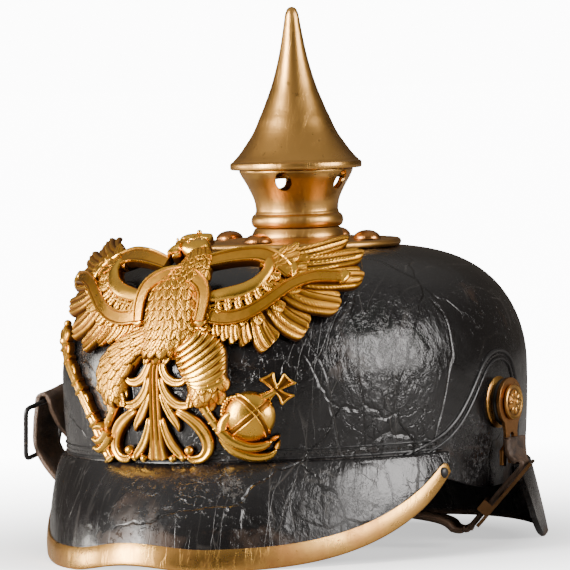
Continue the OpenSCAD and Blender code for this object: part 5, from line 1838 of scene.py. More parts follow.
class Stamping:
    """Stamped shapes on the plate's sheet, each a closed domed patch."""

    def __init__(self, plate: "EaglePlate") -> None:
        """Starts an empty stamping on a plate's sheet.

        Args:
            plate: The plate, which lays the shapes on its sheet.
        """
        self.plate = plate
        self.shaper = Shaper("relief", "barb")
        self.side = 1.0

    def both(self) -> Iterator[float]:
        """Works on the wearer's left side, then on the right one, and ends on the left again."""
        for side in (1.0, -1.0):
            self.side = side
            yield side
        self.side = 1.0

    def lay(self, flat: Vector, lift: float) -> Vector:
        """Point over the sheet on the side that is being worked on."""
        return self.plate.lay(flat.x * self.side, flat.y, lift)

    def leaf(
        self,
        line: Sequence[Sequence[float]],
        widths: Sequence[float],
        rise: float,
        base: float = 1.0,
        section: Section = Section.ROUND,
        root: float = 0.0,
        tip: float = 0.25,
        tilt: float = 0.0,
        barb: float = 0.0,
        ground: Optional[Callable[[float, float], float]] = None,
        fine: float = 1.0,
        dim: float = 0.0,
        pitch: float = 0.0,
    ) -> None:
        """Adds a shape along a line on the sheet.

        Args:
            line: Points of the line, x and height.
            widths: Half widths along it.
            rise: Height of the ridge above the border.
            base: Height of the border above the sheet or the ground.
            section: The cross-section.
            root: Share of the length that rounds off at the start.
            tip: Share of the length that rounds off at the end.
            tilt: How much higher one side lies than the other.
            barb: Strength of the barbs cut in it.
            ground: Height under it, for a shape that lies on another.
            fine: Step length along it, in millimetres.
            dim: How much darker it is than its neighbours, as painted shade.
            pitch: How much higher its end lies than its start; its start is also darkened with painted shade.
        """
        length = sum((Vector(b) - Vector(a)).length for a, b in zip(line, line[1:]))
        steps = max(6, min(40, int(length / fine)))
        across = 8 if max(widths) < 1.9 else 20 if section is Section.RIBBON and max(widths) > 1.9 else 12
        stations = []
        for share in steps_of(steps):
            t = share * (1.5 - 0.5 * share) if tip else share
            end = rounded((t - 1 + tip) / tip) if tip and t > 1 - tip else 1.0
            end = min(end, rounded((root - t) / root)) if t < root else end
            side = beside_way(way_at(line, t)) * max(0.1, curve_at(widths, t) * end)
            stations.append((line_at(line, t), side, end))

        def spot(u: float, v: float) -> tuple[Vector, float, float]:
            """Place on the sheet, height and painted brightness at two shares."""
            here, side, end = stations[round(u * steps)]
            w = 2 * v - 1
            flat = here + side * w
            high, bright = section.at(w)
            lift = base * (0.55 + 0.45 * min(1.0, end * 1.4)) + rise * high * min(1.0, 0.25 + end) + tilt * w * end
            lift += pitch * u + (ground(flat.x, flat.y) if ground else 0.0)
            # The brightness drops into painted shade at rounded ends, at the start of a pitched shape and on a dimmed
            # one.
            return flat, lift, bright * min(1.0, end * 1.3) * (1 - 0.35 * min(1.0, pitch) * (1 - u)) * (1 - dim)

        bm, uv = self.shaper.bm, self.shaper.uv
        relief, barbs = self.shaper.values["relief"], self.shaper.values["barb"]
        made = bmesh.ops.create_grid(bm, x_segments=steps, y_segments=across, size=0.5)["verts"]
        shares = {vert: (vert.co.x + 0.5, vert.co.y + 0.5) for vert in made}
        for vert, (u, v) in shares.items():
            for loop in vert.link_loops:
                loop[uv].uv = (u * length * 0.01, 0.5 + (v - 0.5) * 2 * max(widths) * 0.01)
            flat, lift, bright = spot(u, v)
            vert.co = self.lay(flat, lift) * MM
            vert[relief], vert[barbs] = max(0.0, bright), barb
        rim = list({edge for vert in made for edge in vert.link_edges if edge.is_boundary})
        grown = bmesh.ops.extrude_edge_only(bm, edges=rim)["geom"]
        for foot in (item for item in grown if isinstance(item, bmesh.types.BMVert)):
            top = next(e.other_vert(foot) for e in foot.link_edges if e.other_vert(foot) in shares)
            foot.co = self.lay(spot(*shares[top])[0], -0.05) * MM
            # The sides down to the sheet get no lightness: painted shade and patina at the foot.
            foot[relief], foot[barbs] = 0.0, 0.0
        low = [item for item in grown if isinstance(item, bmesh.types.BMEdge)]
        bmesh.ops.holes_fill(bm, edges=low, sides=0)

    def feather(
        self, start: Pair, end: Pair, half: float, rise: float, base: float = 1.1, bend: float = 1.2, **more: Any
    ) -> None:
        """Adds a feather, bent a little.

        Args:
            start: Its root.
            end: Its tip.
            half: Half its width.
            rise: Height of its ridge above its border.
            base: Height of its border.
            bend: How far it is bent.
            **more: Other settings of a leaf.
        """
        a, z = Vector(start), Vector(end)
        out = beside_way((z - a).normalized()) * -bend
        line = [a, a.lerp(z, 0.55) + out, a.lerp(z, 0.88) + out * 0.5, z]
        settings = {"section": Section.FEATHER, "tip": 0.24, "barb": 1.0, **more}
        self.leaf(line, [half * 0.7, half, half * 1.02, half * 0.9], rise, base, **settings)

    def ball(self, x: float, z: float, radius: float, lift: float, flat: float = 1.0) -> None:
        """Adds a round boss.

        Args:
            x: Where it lies across the sheet.
            z: Its height.
            radius: Its radius.
            lift: How far its middle stands off the sheet.
            flat: How deep it is for its radius.
        """
        foot = self.lay(Vector((x, z)), lift)
        out = self.lay(Vector((x, z)), lift + 1) - foot
        verts = self.shaper.ball(stand_at(foot, out) @ sized(radius, radius, radius * flat), 14, 10)
        # The boss gets painted light towards its top and painted shade at its foot.
        self.shaper.carry(
            "relief", lambda p: max(0.0, min(1.0, 0.6 + 0.6 * (p - foot).dot(out) / (radius * flat))), verts
        )

    def beads(self, line: Sequence[Pair], count: int, radius: float, lift: float) -> None:
        """Adds a string of round beads.

        Args:
            line: Points of the string.
            count: Number of beads.
            radius: Their radius.
            lift: How far they stand off the sheet.
        """
        for share in steps_of(count - 1):
            self.ball(*line_at(line, share), radius, lift)

    def scales(
        self, mound: Mound, rows: int, span: Pair, length: float, half: float, spread: int = 2, edge: float = 0.86
    ) -> None:
        """Covers a domed leaf with rows of small overlapping feathers.

        Args:
            mound: The leaf.
            rows: Number of rows along it.
            span: Shares along the leaf of the first and the last row.
            length: Length of a small feather.
            half: Its half width.
            spread: Small feathers on each side of a row's middle one.
            edge: How near the leaf's border the outermost ones lie.
        """
        look = {"section": Section.FEATHER, "tip": 0.55, "ground": mound.height, "fine": 0.8, "barb": 0.4, "pitch": 1.0}
        for row, share in enumerate(steps_of(rows - 1)):
            along = span[0] + (span[1] - span[0]) * share
            count = int(curve_at(mound.widths, along) * 2 * edge / (half * 1.5)) + 1
            count = max(1, min(spread * 2 + 1, count))
            for k in range(count):
                across = (2 * (k + 0.5 + 0.25 * (row % 2)) / count - 1) * edge
                if abs(across) > 0.97:
                    continue
                here, way = mound.at(along, across)
                goal = here + (way + beside_way(way) * across * 0.35) * length
                self.leaf([here, here.lerp(goal, 0.5), goal], [half * 0.8, half, half * 0.75], 0.7, 0.0, **look)

    def hoops(self, mound: Mound, rows: int, span: Pair, half: float) -> None:
        """Lays overlapping crescents right across a domed leaf.

        Args:
            mound: The leaf.
            rows: Number of crescents.
            span: Shares along the leaf of the first and the last one.
            half: Half the width of a crescent.
        """
        look = {"root": 0.12, "tip": 0.12, "ground": mound.height, "tilt": -0.55}
        for share in steps_of(rows - 1):
            line = []
            for across in fan(0.97, 6):
                here, way = mound.at(span[0] + (span[1] - span[0]) * share, across)
                line.append(here + way * 2.4 * (1 - across * across))
            self.leaf(line, [half * 0.5, half, half, half * 0.5], 0.9, 0.15, **look)


@dataclass
class EaglePlate:
    """The stamped heraldic eagle, laid out as x and height on a sheet that follows the skull."""

    gap: float = 0.5
    stands_off: float = 13.2
    fuller: float = 0.7
    drift: float = 5.8
    primaries: tuple[tuple[float, ...], ...] = (
        (29, 119.0, 55.5, 124.6, 2.7), (33, 117.0, 62.5, 119.0, 3.1), (37, 114.0, 65.6, 110.6, 3.6),
        (38, 109.6, 62.0, 100.6, 3.8), (35.5, 105.0, 53.6, 91.4, 4.1), (31, 101.6, 42.0, 86.2, 3.7),
        (27, 100.4, 33.0, 87.8, 2.6), (24, 99.8, 28.0, 88.6, 2.2), (21, 99.6, 24.0, 89.4, 2.0),
        (18, 99.6, 20.2, 90.4, 1.9), (15, 99.8, 16.0, 91.4, 1.9),
    )  # fmt: skip
    arm: tuple[Pair, ...] = ((12, 104.6), (19, 106), (26, 107.6), (31.2, 110.6), (33.4, 115), (31, 118.8))
    low_ribbon: tuple[Pair, ...] = (
        (10, 99.4), (17, 97.8), (23, 97.4), (29, 98.8), (35.5, 102.4), (41, 106.6), (46, 109.8), (52.5, 111.6),
        (60, 111.0),
    )  # fmt: skip
    high_ribbon: tuple[Pair, ...] = ((8, 117.6), (14.5, 119.2), (21, 120.2), (28, 120.2), (35, 117.8), (42.5, 113.4))
    arch: tuple[Pair, ...] = (
        (-12.4, 96), (-12.8, 103), (-11, 108.4), (-6, 111.6), (0.5, 112.6), (7, 111.4), (11.4, 108), (12.8, 103),
        (12.4, 96),
    )  # fmt: skip
    staff: tuple[Pair, ...] = ((23.5, 42), (28, 49.5), (33, 58), (40, 67.5), (48, 76.5), (56, 84), (60, 88))
    orb_at: tuple[float, ...] = (36.5, 59.3, 10.2, 6.6)

    def sheet(self, x: float, z: float) -> Vector:
        """Point on the sheet.

        Args:
            x: Place across the sheet.
            z: Its height.

        Returns:
            The point.
        """
        f = FORM
        if z < f.widest_z:
            share = f.rho(z)
        else:
            rise = min(0.97, (z - f.widest_z) / (f.dome_h + self.stands_off))
            share = (1 - rise * rise) ** (1 / (f.fullness + self.fuller))
        wide = f.half_w * share + self.gap
        return Vector((x, f.mid_y - (f.half_l * share + self.gap) * math.sqrt(max(0.02, 1 - (x / wide) ** 2)), z))

    def lay(self, x: float, z: float, lift: float) -> Vector:
        """Point over the sheet, where the body leans to its left above the tail.

        Args:
            x: Place across the sheet.
            z: Its height.
            lift: Distance off the sheet.

        Returns:
            The point.
        """
        x += self.drift * ease((z - 77) / 18) * (1 - ease((x - 20) / 40))
        here = self.sheet(x, z)
        right, up = self.sheet(x + 0.5, z) - here, self.sheet(x, z + 0.5) - here
        return here + right.cross(up).normalized() * lift

    def build(self) -> None:
        """Builds every piece."""
        self.wings()
        self.ribbons()
        self.trunk()
        self.tail()
        self.legs()
        self.sceptre()
        self.orb()
        Piece("plate_posts_brass", SHEET_BRASS, stands_for=("plate_posts",)).copy_node()
        Piece("plate_nuts_brass", SHEET_BRASS, stands_for=("plate_nuts",), bevel=0.2).copy_node()

    def finish(self, name: str, stamping: Stamping, stands_for: tuple[str, ...] = ()) -> None:
        """Ends a stamping as a gilt piece."""
        Piece(name, GILT, stands_for=stands_for, sharp=55).make(stamping.shaper)

    def arm_out(self, share: float, reach: float) -> Vector:
        """Point at a reach outside the wing's arm."""
        return line_at(self.arm, share) - beside_way(way_at(self.arm, share)) * reach

    def wings(self) -> None:
        """Both wings: web, primaries, secondaries, coverts and the smooth arm."""
        web = ((13, 98), (24, 96.5), (34, 98), (43, 104), (48, 111), (46, 118), (38, 121))
        roots, tips = [q[0:2] for q in self.primaries], [q[2:4] for q in self.primaries]
        rows = ((4.4, 10.0, 1.9, 2.2, 9, 0.0), (1.8, 6.6, 1.7, 2.8, 10, 0.5))
        for side, name in ((1.0, "eagle_wing_left"), (-1.0, "eagle_wing_right")):
            s = Stamping(self)
            s.side = side
            # The web, the strip outside the arm and the feathers under the primaries are dimmed as painted shade under
            # the feathers over them.
            s.leaf(web, [3.5, 5, 6, 6.5, 6.5, 5, 3], 0.4, 0.8, dim=0.9, root=0.1)
            s.leaf([self.arm_out(share, 6.4) for share in steps_of(8)], [4.2] * 9, 0.5, 1.2, dim=0.6)
            for (x0, z0, x1, z1, half) in self.primaries:
                start, goal = Vector((x0, z0)), Vector((x1, z1))
                under = start.lerp(goal, 0.93) + beside_way((goal - start).normalized()) * half * 0.9
                s.feather(start, under, half * 0.75, 1.0, 0.7, dim=0.3, barb=0.3)
            look = {"barb": 0.35, "tilt": 0.45, "pitch": 0.5, "tip": 0.22}
            for k, (x0, z0, x1, z1, half) in enumerate(self.primaries):
                section = Section.FLUTED if half > 2.5 else Section.FEATHER
                s.feather((x0, z0), (x1, z1), half, 1.7, 1.0 + 0.12 * (k % 2), section=section, **look)
            for share in steps_of(8):
                start, goal = line_at(roots, 0.06 + 0.86 * share), line_at(tips, 0.06 + 0.86 * share)
                root, tip = start + (start - goal).normalized() * 2.0, start.lerp(goal, 0.42)
                s.feather(root, tip, 2.3, 1.3, 1.7, 0.6, tilt=0.25, pitch=0.8, barb=0.6)
            for near, far, half, base, count, shift in rows:
                for k in range(count):
                    share = (k + 0.4 * shift + 0.3) / (count + 0.3)
                    root, tip = self.arm_out(share, near), self.arm_out(share, far) + way_at(self.arm, share)
                    s.feather(root, tip, half, 1.1, base, 0.4, tilt=0.15, tip=0.45, pitch=0.7, barb=0.5)
            s.leaf(self.arm, [2.2, 2.7, 3.0, 3.0, 2.6, 1.6], 2.0, 2.7, root=0.15, tip=0.2)
            s.leaf([self.arm_out(share, 3.4) for share in steps_of(8)], [0.55] * 9, 0.7, 3.2, root=0.1)
            for k in range(4):
                share = 0.8 + 0.05 * k
                tip = line_at(self.arm, share) + Vector((2.5 - k * 1.4, 4.2))
                s.feather(self.arm_out(share, -1.5), tip, 1.5, 0.9, 2.2, 0.3)
            self.finish(name, s, ("eagle_plate",) if side > 0 else ())

    def ribbons(self) -> None:
        """Bare ribbons with raised lips: two above, two below and the arch on the breast."""
        s = Stamping(self)
        low_end, high_end = ((58.5, 114), (60.8, 111.4), (60.2, 108.6)), ((41.2, 117.2), (43.6, 114.8), (44.6, 111.4))
        curl = ((43, 118.2), (45.6, 118.8), (47.6, 117))
        for _ in s.both():
            s.leaf(self.low_ribbon, [2.7, 2.8, 2.8, 2.8, 2.8, 2.7, 2.5, 2.3, 1.9], 1.4, 3.4, Section.RIBBON, tip=0.0)
            s.leaf(low_end, [0.9, 1.3, 0.8], 1.3, 3.2, root=0.3, tip=0.4)
            s.leaf(self.high_ribbon, [2.2, 2.5, 2.6, 2.6, 2.5, 2.2], 1.4, 3.0, Section.RIBBON, tip=0.0)
            s.leaf(high_end, [0.9, 1.4, 0.8], 1.3, 3.0, root=0.3, tip=0.4)
            s.leaf(curl, [1.0, 1.6, 1.0], 0.8, 2.6, Section.RIBBON, tip=0.2)
        s.leaf(self.arch, [1.9, 2.2, 2.4, 2.5, 2.5, 2.5, 2.4, 2.2, 1.9], 1.5, 5.6, Section.RIBBON, tip=0.0)
        for x, lean in ((-12.8, -1), (12.8, 1)):
            foot = ((x - 2.6 * lean, 96.4), (x, 95.0), (x + 2.2 * lean, 95.8))
            s.leaf(foot, [0.8, 1.3, 0.8], 1.3, 4.8, root=0.3, tip=0.4)
        self.finish("eagle_ribbons", s)

    def trunk(self) -> None:
        """Breast, neck, head and crown."""
        s = Stamping(self)
        breast = ((0, 86), (0, 92), (0, 98), (0, 104), (0, 110), (0.5, 114))
        # The breast is dimmed a little as painted shade under the small feathers on it.
        s.leaf(breast, [7, 10.8, 12.6, 12.8, 11, 7.5], 5.0, root=0.12, dim=0.15)
        over = ((0, 112), (0, 106), (0, 100), (0, 94), (0, 88), (0, 84.5))
        s.scales(Mound(over, [10, 12, 12.4, 11.6, 8.4, 4.6], 5.0), 8, (0.02, 0.84), 5.2, 2.3, 3, 0.9)
        look = {"pitch": 0.6, "tip": 0.4}
        for k in range(-2, 3):
            start, end = (k * 3.2, 92.5 - abs(k) * 0.8), (k * 3.9, 82.2 + abs(k) * 1.5)
            s.feather(start, end, 2.3, 1.2, 2.8 - abs(k) * 0.4, 0.0, tilt=0.1, **look)
        for _ in s.both():
            for k in range(5):
                start, end = (9.0 + k * 0.4, 104 - k * 3.2), (15.0 + k * 0.2, 99.4 - k * 3.0)
                s.feather(start, end, 1.9, 1.0, 2.8, 0.3, **look)
        neck = [(2.4, 110.5), (4.4, 114), (5.0, 117.4), (3.8, 120.4)]
        # The neck is dimmed a little as painted shade under its small feathers.
        s.leaf(neck, [8.6, 7.0, 5.8, 4.6], 4.6, 1.4, tip=0.3, dim=0.15)
        s.scales(Mound(neck[::-1], [4.6, 5.8, 7.0, 8.6], 4.6, 1.4), 6, (0.0, 0.8), 4.0, 1.7, 2, 0.92)
        head = ((6.4, 120.2), (3.6, 122.2), (-0.4, 122.6), (-3.2, 121.8))
        s.leaf(head, [3.0, 3.6, 3.0, 1.9], 4.0, 2.4, root=0.25)
        beak = ((-2.4, 122.5), (-5.2, 122.1), (-7.4, 120.6), (-7.5, 118.9))
        s.leaf(beak, [1.8, 1.7, 1.1, 0.5], 2.8, 3.2, root=0.2, tip=0.5)
        s.leaf([(-2.4, 120.6), (-4.4, 119.9), (-5.8, 119.0)], [1.1, 0.9, 0.4], 1.8, 3.2, root=0.2, tip=0.5)
        s.ball(-0.6, 122.9, 0.8, 6.3)
        s.leaf([(-1.8, 123.9), (-0.4, 124.3), (1.0, 123.8)], [0.35, 0.5, 0.35], 0.6, 5.8, root=0.2)
        circlet = ((-7.8, 123.6), (-4.0, 124.6), (0.6, 124.9), (4.8, 124.2))
        s.leaf(circlet, [1.0, 1.2, 1.2, 1.0], 1.6, 3.4, Section.RIBBON, tip=0.0)
        for k in range(5):
            s.ball(-6.8 + 2.6 * k, 124.3 + 0.4 * math.sin(k * 0.8), 0.6, 5.4)
        for x0, z0, x1, z1 in ((-7.2, 124.8, -6.8, 126.6), (-1.6, 125.6, -1.6, 126.6), (4.0, 125.2, 4.0, 126.8)):
            s.leaf([(x0, z0), (x1, z1), (-1.6, 127.4)], [0.9, 1.0, 0.7], 1.2, 2.6, root=0.1)
        s.ball(-1.6, 127.9, 1.1, 3.6)
        self.finish("eagle_breast_and_head", s)

    def tail(self) -> None:
        """Openwork tail: fluted stem and three tiers of leaves with volutes."""
        s = Stamping(self)
        stem = ((0, 84), (0, 76), (0, 66), (0, 56), (0, 48), (0, 42.4))
        s.leaf(stem, [2.6, 2.5, 2.7, 3.1, 3.9, 5.4], 1.8, 1.5, Section.FLUTED, tip=0.06)
        leaves = (
            (((3.6, 87.4), (4.6, 84), (4.0, 79.6)), (1.6, 1.9, 1.4), 1.4, 1.8, 0.0, 0.35),
            (((2.6, 82), (3.6, 78), (5.4, 75), (8.6, 73.2), (12.0, 73.6), (13.6, 76.2)),
             (1.5, 1.9, 2.1, 2.0, 1.6, 0.7), 1.5, 1.3, 0.1, 0.25),
            (((2.6, 76), (3.8, 71), (6.2, 67), (9.8, 64.4), (13.8, 64.4), (16.2, 67.4)),
             (1.5, 1.9, 2.2, 2.2, 1.7, 0.7), 1.6, 1.3, 0.1, 0.25),
            (((2.8, 70), (4.4, 64.6), (7.0, 60), (9.2, 56.4), (9.8, 53.6)),
             (1.4, 1.8, 2.1, 1.5, 0.5), 1.4, 1.2, 0.1, 0.4),
            (((8.5, 62.6), (13, 60), (17.4, 56.4), (20.4, 51.6), (20.8, 47), (18.4, 43.6), (14.8, 43.0), (12.4, 44.6)),
             (1.5, 2.2, 2.7, 2.7, 2.4, 2.1, 1.8, 1.3), 1.8, 1.3, 0.08, 0.2),
            (((2.6, 60), (4.0, 54), (6.4, 48.6), (9.4, 45.0), (11.2, 43.0)),
             (1.2, 1.7, 2.1, 1.9, 1.2), 1.7, 1.3, 0.1, 0.25),
        )  # fmt: skip
        for _ in s.both():
            for line, widths, rise, base, root, tip in leaves:
                s.leaf(line, widths, rise, base, Section.GROOVED, root=root, tip=tip)
            for x, z, radius, lift in ((13.4, 46.4, 2.0, 1.6), (6.4, 43.2, 1.7, 1.8), (10.8, 43.6, 1.6, 1.7)):
                s.ball(x, z, radius, lift, 1.1)
        s.leaf([(0, 87), (0, 83.4), (0, 79.6)], [3.9, 3.0, 1.6], 1.6, 2.6, Section.KEEL, tip=0.5)
        for x in (-2.6, 2.6):
            s.leaf([(x * 0.6, 87), (x, 84), (x * 1.1, 81.6)], [1.2, 1.5, 0.9], 1.3, 2.4, Section.GROOVED, tip=0.5)
        self.finish("eagle_tail", s)

    def legs(self) -> None:
        """Feathered thighs, smooth shanks and clawed feet."""
        s = Stamping(self)
        line = ((7, 91), (13, 86.5), (18.6, 80.5), (21.2, 74.6), (20.6, 69.6), (18.8, 66))
        thigh = Mound(line, [5, 7.6, 9, 8, 5.8, 3.4], 3.4)
        shank = ((17.6, 69), (20, 63.4), (23.4, 57.8), (26.6, 53.2))
        for side in s.both():
            # The thigh is dimmed as painted shade under its feathers.
            s.leaf(thigh.line, thigh.widths, thigh.rise, root=0.15, dim=0.2)
            if side > 0:
                s.hoops(thigh, 9, (0.08, 0.62), 1.75)
                s.scales(thigh, 3, (0.6, 0.84), 6.0, 2.7)
            else:
                s.scales(thigh, 8, (0.04, 0.84), 6.4, 2.2, 2, 0.88)
            for k in range(4):
                start, end = (17.0 + k * 1.8, 71.5 - k * 0.2), (14.8 + k * 2.8, 63.4 + k * 0.5)
                s.feather(start, end, 1.9, 1.0, 2.2, 0.2, pitch=0.6, tip=0.4)
            s.leaf(shank, [2.5, 2.1, 1.9, 2.5], 2.3, 1.3, root=0.1, tip=0.1)
            for share in steps_of(4):
                spot = line_at([(19.6, 64.4), (23.4, 57.8), (26, 54)], share)
                half = Vector((1.5, 0.7))
                # Each small bar on the shank is dimmed a little as painted shade.
                s.leaf([spot - half, spot, spot + half], [0.35, 0.5, 0.35], 0.4, 3.1, dim=0.1)
        left = (
            (((25.2, 55), (29.6, 50.4), (35.4, 47.6), (40.4, 48.0), (43.6, 50.4)),
             (2.3, 2.5, 2.2, 1.8, 1.0), 2.8, 2.4, 0.3),
            (((25.6, 52.6), (30.4, 46.6), (36.6, 43.6), (42.2, 44.0), (45, 47.2)),
             (2.2, 2.4, 2.2, 1.7, 0.7), 2.3, 1.5, 0.3),
            (((26.6, 53), (27.4, 57.4), (30.2, 60.6), (33.8, 60.2), (36, 57.8)),
             (1.9, 2.0, 1.9, 1.6, 0.7), 2.4, 3.0, 0.35),
        )  # fmt: skip
        right = (
            (((22.6, 55), (24.8, 51.4), (28.4, 49.6), (31.4, 51.4)), (2.2, 2.2, 1.8, 0.9), 2.4, 3.0, 0.3),
            (((22, 53), (24.4, 48.8), (28.4, 46.2), (31.8, 47.6)), (2.0, 2.1, 1.7, 0.8), 2.2, 2.6, 0.3),
            (((24, 55), (27.6, 55.6), (31, 54.2)), (1.8, 1.7, 0.8), 2.2, 3.0, 0.35),
        )
        for side in s.both():
            for line, widths, rise, base, tip in left if side > 0 else right:
                s.leaf(line, widths, rise, base, root=0.15, tip=tip)
        for x, z, a in ((43.4, 50.2, 0.6), (44.6, 47, 1.2), (35.8, 58, -0.9)):
            start = Vector((x, z))
            end = start + Vector((math.cos(a), math.sin(a))) * 3.4
            s.leaf([start, start.lerp(end, 0.5), end], [1.0, 0.8, 0.35], 1.4, 3.4, Section.KEEL, tip=0.5)
        self.finish("eagle_legs_and_claws", s)

    def sceptre(self) -> None:
        """Staff with knots, held in the eagle's right claw, and its leafy head."""
        s = Stamping(self)
        s.side = -1.0
        s.leaf(self.staff, [2.3, 2.7, 2.3, 2.1, 1.9, 1.8, 1.7], 2.4, 1.1, Section.GROOVED, root=0.03, tip=0.05)
        knots = (
            (0.02, 3.2), (0.1, 3.0), (0.17, 3.8), (0.3, 3.4), (0.36, 2.9), (0.52, 3.1), (0.58, 2.7), (0.74, 2.9),
            (0.86, 3.1),
        )  # fmt: skip
        for share, wide in knots:
            here = line_at(self.staff, share)
            out = beside_way(way_at(self.staff, share)) * wide
            s.leaf([here - out, here, here + out], [0.9, 1.15, 0.9], 1.5, 2.3, root=0.2, tip=0.2)
        for share in (0.22, 0.42, 0.62, 0.78):
            here, way = line_at(self.staff, share), way_at(self.staff, share)
            for out in (beside_way(way) * -1, beside_way(way)):
                line = [here + out * 0.4, here + out * 1.6 + way * 2.2, here + out * 2.5 + way * 4.8]
                s.leaf(line, [1.0, 1.2, 0.6], 1.1, 1.6, Section.GROOVED, tip=0.5)
        for bend in (-1, 0, 1):
            line = [(58.6, 86), (61 + bend * 2.2, 90), (62.6 + bend * 2.4, 94 - abs(bend) * 2)]
            s.leaf(line, [1.6, 2.3, 1.1], 1.9, 1.4, Section.GROOVED, tip=0.5)
        s.ball(62.6, 94.2, 1.7, 1.6)
        s.ball(60.4, 87.4, 2.2, 2.0)
        self.finish("eagle_sceptre", s)

    def globe(self, s: Stamping) -> None:
        """The orb's dome with two crossed bands, each a hollow between raised lips.

        Args:
            s: The stamping that it is added to.
        """
        x, z, radius, high = self.orb_at
        foot = self.lay(x, z, 0.6)
        out = (self.lay(x, z, 1.6) - foot).normalized()
        right = (self.sheet(x + 0.5, z) - self.sheet(x, z)).normalized()
        up = out.cross(right)
        lean = math.radians(38)
        first, second = right * math.cos(lean) + up * math.sin(lean), up * math.cos(lean) - right * math.sin(lean)
        relief = s.shaper.values["relief"]
        turn = Matrix((right, up, out)).transposed().to_4x4()
        stand = Matrix.Translation(foot * MM) @ turn @ sized(radius, radius, high)
        # The orb's dome is in painted shade at its foot and lighter towards its top.
        for vert in s.shaper.ball(stand, 56, 28):
            deep = (vert.co / MM - foot).dot(out)
            vert[relief] = 0.0 if deep < 0.2 else min(1.0, 0.35 + deep * 0.4)

        def band(ahead: Vector, side: Vector, bow: float, edge: int) -> Place:
            """Shape of a band's hollow, edge 0, or of one of its lips."""
            wide, lift = (0.038, 1.07) if edge else (0.09, 1.02)

            def place(u: float, v: float) -> Vector:
                """Point on the band."""
                a = math.radians(-84 + 168 * u)
                swell = 1 + (lift - 1) * math.sin(math.pi * v)
                y = bow * math.cos(a) * 0.8 + edge * 0.11 + wide * (2 * v - 1)
                flat = (ahead * math.sin(a) * rounded(y) + side * y) * radius
                return foot + (flat + out * math.cos(a) * rounded(y) * high) * swell

            return place

        # Each band's lips get full lightness, and its hollow gets painted shade and patina.
        for ahead, side, bow in ((first, second, 0.0), (second, first, 0.42)):
            for edge in (-1, 0, 1):
                for vert in s.shaper.grid(36, 6, band(ahead, side, bow, edge), (0.3, 0.02)):
                    vert[relief] = 1.0 if edge else 0.2
        s.shaper.seal(0.0001)

    def orb(self) -> None:
        """Orb, its cross with flared arms, and the beaded string beside it."""
        s = Stamping(self)
        self.globe(s)
        s.leaf([(39.4, 65.4), (42.4, 67.4), (45.5, 69.4)], [1.5, 1.2, 1.1], 1.2, 2.2)
        middle, lip = Vector((45.4, 69.6)), {"tip": 0.0}
        for degrees, reach in ((118, 6.2), (44, 6.0), (-48, 5.4), (-140, 5.4)):
            way = Vector((math.cos(math.radians(degrees)), math.sin(math.radians(degrees))))
            side, end = beside_way(way), middle + way * reach
            arm = [middle + way * 0.1, middle + way * 3, end]
            # The arm's hollow between its lips is dimmed as painted shade.
            s.leaf(arm, [1.0, 1.5, 2.6], 0.2, 1.5, Section.GROOVED, dim=0.7, **lip)
            for out in (side * -1, side):
                line = [middle + way * 0.4 + out * 0.7, middle + way * 3 + out * 1.2, end + out * 2.4]
                s.leaf(line, [0.4, 0.45, 0.5], 0.9, 1.8, **lip)
            s.leaf([end - side * 2.6, end - way * 0.3, end + side * 2.6], [0.5, 0.45, 0.5], 0.9, 1.8, **lip)
        s.beads([(33.4, 67.6), (29.6, 66.8), (27.6, 63.8), (27.0, 60), (27.4, 56.4), (28.6, 53.4)], 15, 0.95, 2.6)
        s.beads([(31.6, 67.4), (30.6, 64.4), (29.6, 61.2)], 6, 0.8, 2.4)
        self.finish("eagle_orb_and_cross", s)


# ---------------------------------------------------------------- studio


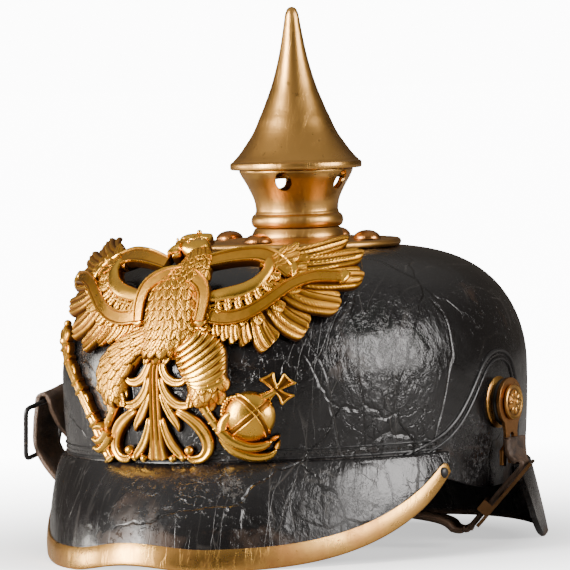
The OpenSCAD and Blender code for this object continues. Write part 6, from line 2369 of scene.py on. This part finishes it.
@dataclass
class Studio:
    """Pale floor, soft lights and the camera at the photograph's angle."""

    azimuth: float = 30.0
    distance: float = 2500.0
    height: float = 220.0
    pitch: float = 2.62
    roll: float = 1.58
    lens: float = 384.47
    shift: float = -0.0249

    def build(self) -> None:
        """Builds the stage."""
        self.floor()
        self.camera()
        self.world()
        self.lamp("key_left", (-0.75, -1.32, 0.5), 0.12, (0.6, 1.0), 78.0, (1.0, 0.97, 0.93))
        self.lamp("fill_left", (-1.5, -0.4, 0.2), 0.12, (0.5, 0.34), 8.0, (1.0, 0.95, 0.88))
        self.lamp("key_right", (1.6, 0.12, 0.55), 0.1, (0.95, 0.8), 32.0, (1.0, 0.97, 0.95))

    def floor(self) -> None:
        """A large pale disc under the object."""
        bm = bmesh.new()
        bmesh.ops.create_circle(bm, cap_ends=True, segments=96, radius=14.0)
        mesh = bpy.data.meshes.new("studio_floor")
        bm.to_mesh(mesh)
        bm.free()
        disc = bpy.data.objects.new("studio_floor", mesh)
        bpy.context.scene.collection.objects.link(disc)
        mesh.materials.append(FLOOR.material())

    def camera(self) -> None:
        """The camera, turned and rolled as the photographer held it."""
        a, p = math.radians(self.azimuth), math.radians(self.pitch)
        look = Vector((-math.sin(a) * math.cos(p), math.cos(a) * math.cos(p), -math.sin(p)))
        right = Vector((math.cos(a), math.sin(a), 0))
        turn = Matrix((right, right.cross(look), -look)).transposed()
        turn = turn @ Matrix.Rotation(math.radians(-self.roll), 3, "Z")
        eye = Vector((math.sin(a) * self.distance, -math.cos(a) * self.distance, self.height)) * MM + AXIS
        lens = bpy.data.cameras.new("photo_camera")
        lens.lens, lens.sensor_width, lens.shift_x = self.lens, 36.0, self.shift
        lens.clip_start, lens.clip_end = 0.1, 60.0
        camera = bpy.data.objects.new("photo_camera", lens)
        camera.matrix_world = Matrix.Translation(eye) @ turn.to_4x4()
        bpy.context.scene.collection.objects.link(camera)
        bpy.context.scene.camera = camera

    def world(self) -> None:
        """White to the camera, a dim warm room to everything else."""
        world = bpy.data.worlds.new("studio_room")
        world.use_nodes = True
        g = Graph(world.node_tree)
        seen = g.add("ShaderNodeLightPath").outputs["Is Camera Ray"]
        up = g.add("ShaderNodeSeparateXYZ", {0: g.add("ShaderNodeTexCoord").outputs["Generated"]}).outputs[2]
        room = g.mix(g.ramp(up, 0.35, 1.0), (0.07, 0.06, 0.05), (0.52, 0.5, 0.48))
        dim = g.add("ShaderNodeBackground", {"Color": room, "Strength": 1.0})
        white = g.add("ShaderNodeBackground", {"Color": (1.0, 1.0, 1.0), "Strength": 12.0})
        both = g.add("ShaderNodeMixShader", {0: seen, 1: dim.outputs[0], 2: white.outputs[0]})
        g.add("ShaderNodeOutputWorld", {"Surface": both.outputs[0]})
        bpy.context.scene.world = world

    def lamp(self, name: str, spot: Colour, aim: float, size: Pair, power: float, tint: Colour) -> None:
        """Adds a soft box that faces the middle.

        Args:
            name: Its name.
            spot: Where it hangs, in metres.
            aim: Height that it faces, in metres.
            size: Its width and height.
            power: Watts.
            tint: Colour of its light.
        """
        light = bpy.data.lights.new(name, "AREA")
        light.shape, light.energy, light.color = "RECTANGLE", power, tint
        light.size, light.size_y = size
        lamp = bpy.data.objects.new(name, light)
        turn = (Vector(spot) - Vector((0, 0, aim))).to_track_quat("Z", "Y").to_matrix().to_4x4()
        lamp.matrix_world = Matrix.Translation(spot) @ turn
        bpy.context.scene.collection.objects.link(lamp)


def main() -> None:
    """Builds the helmet piece by piece, then the studio."""
    logging.basicConfig(level=logging.INFO, format="%(name)s: %(message)s")
    for part in (Skull(), Spike(), EaglePlate(), StrapFittings(), BackFittings(), Lining()):
        part.build()
        LOG.info("%s done", type(part).__name__)
    Studio().build()


if __name__ == "__main__":
    main()
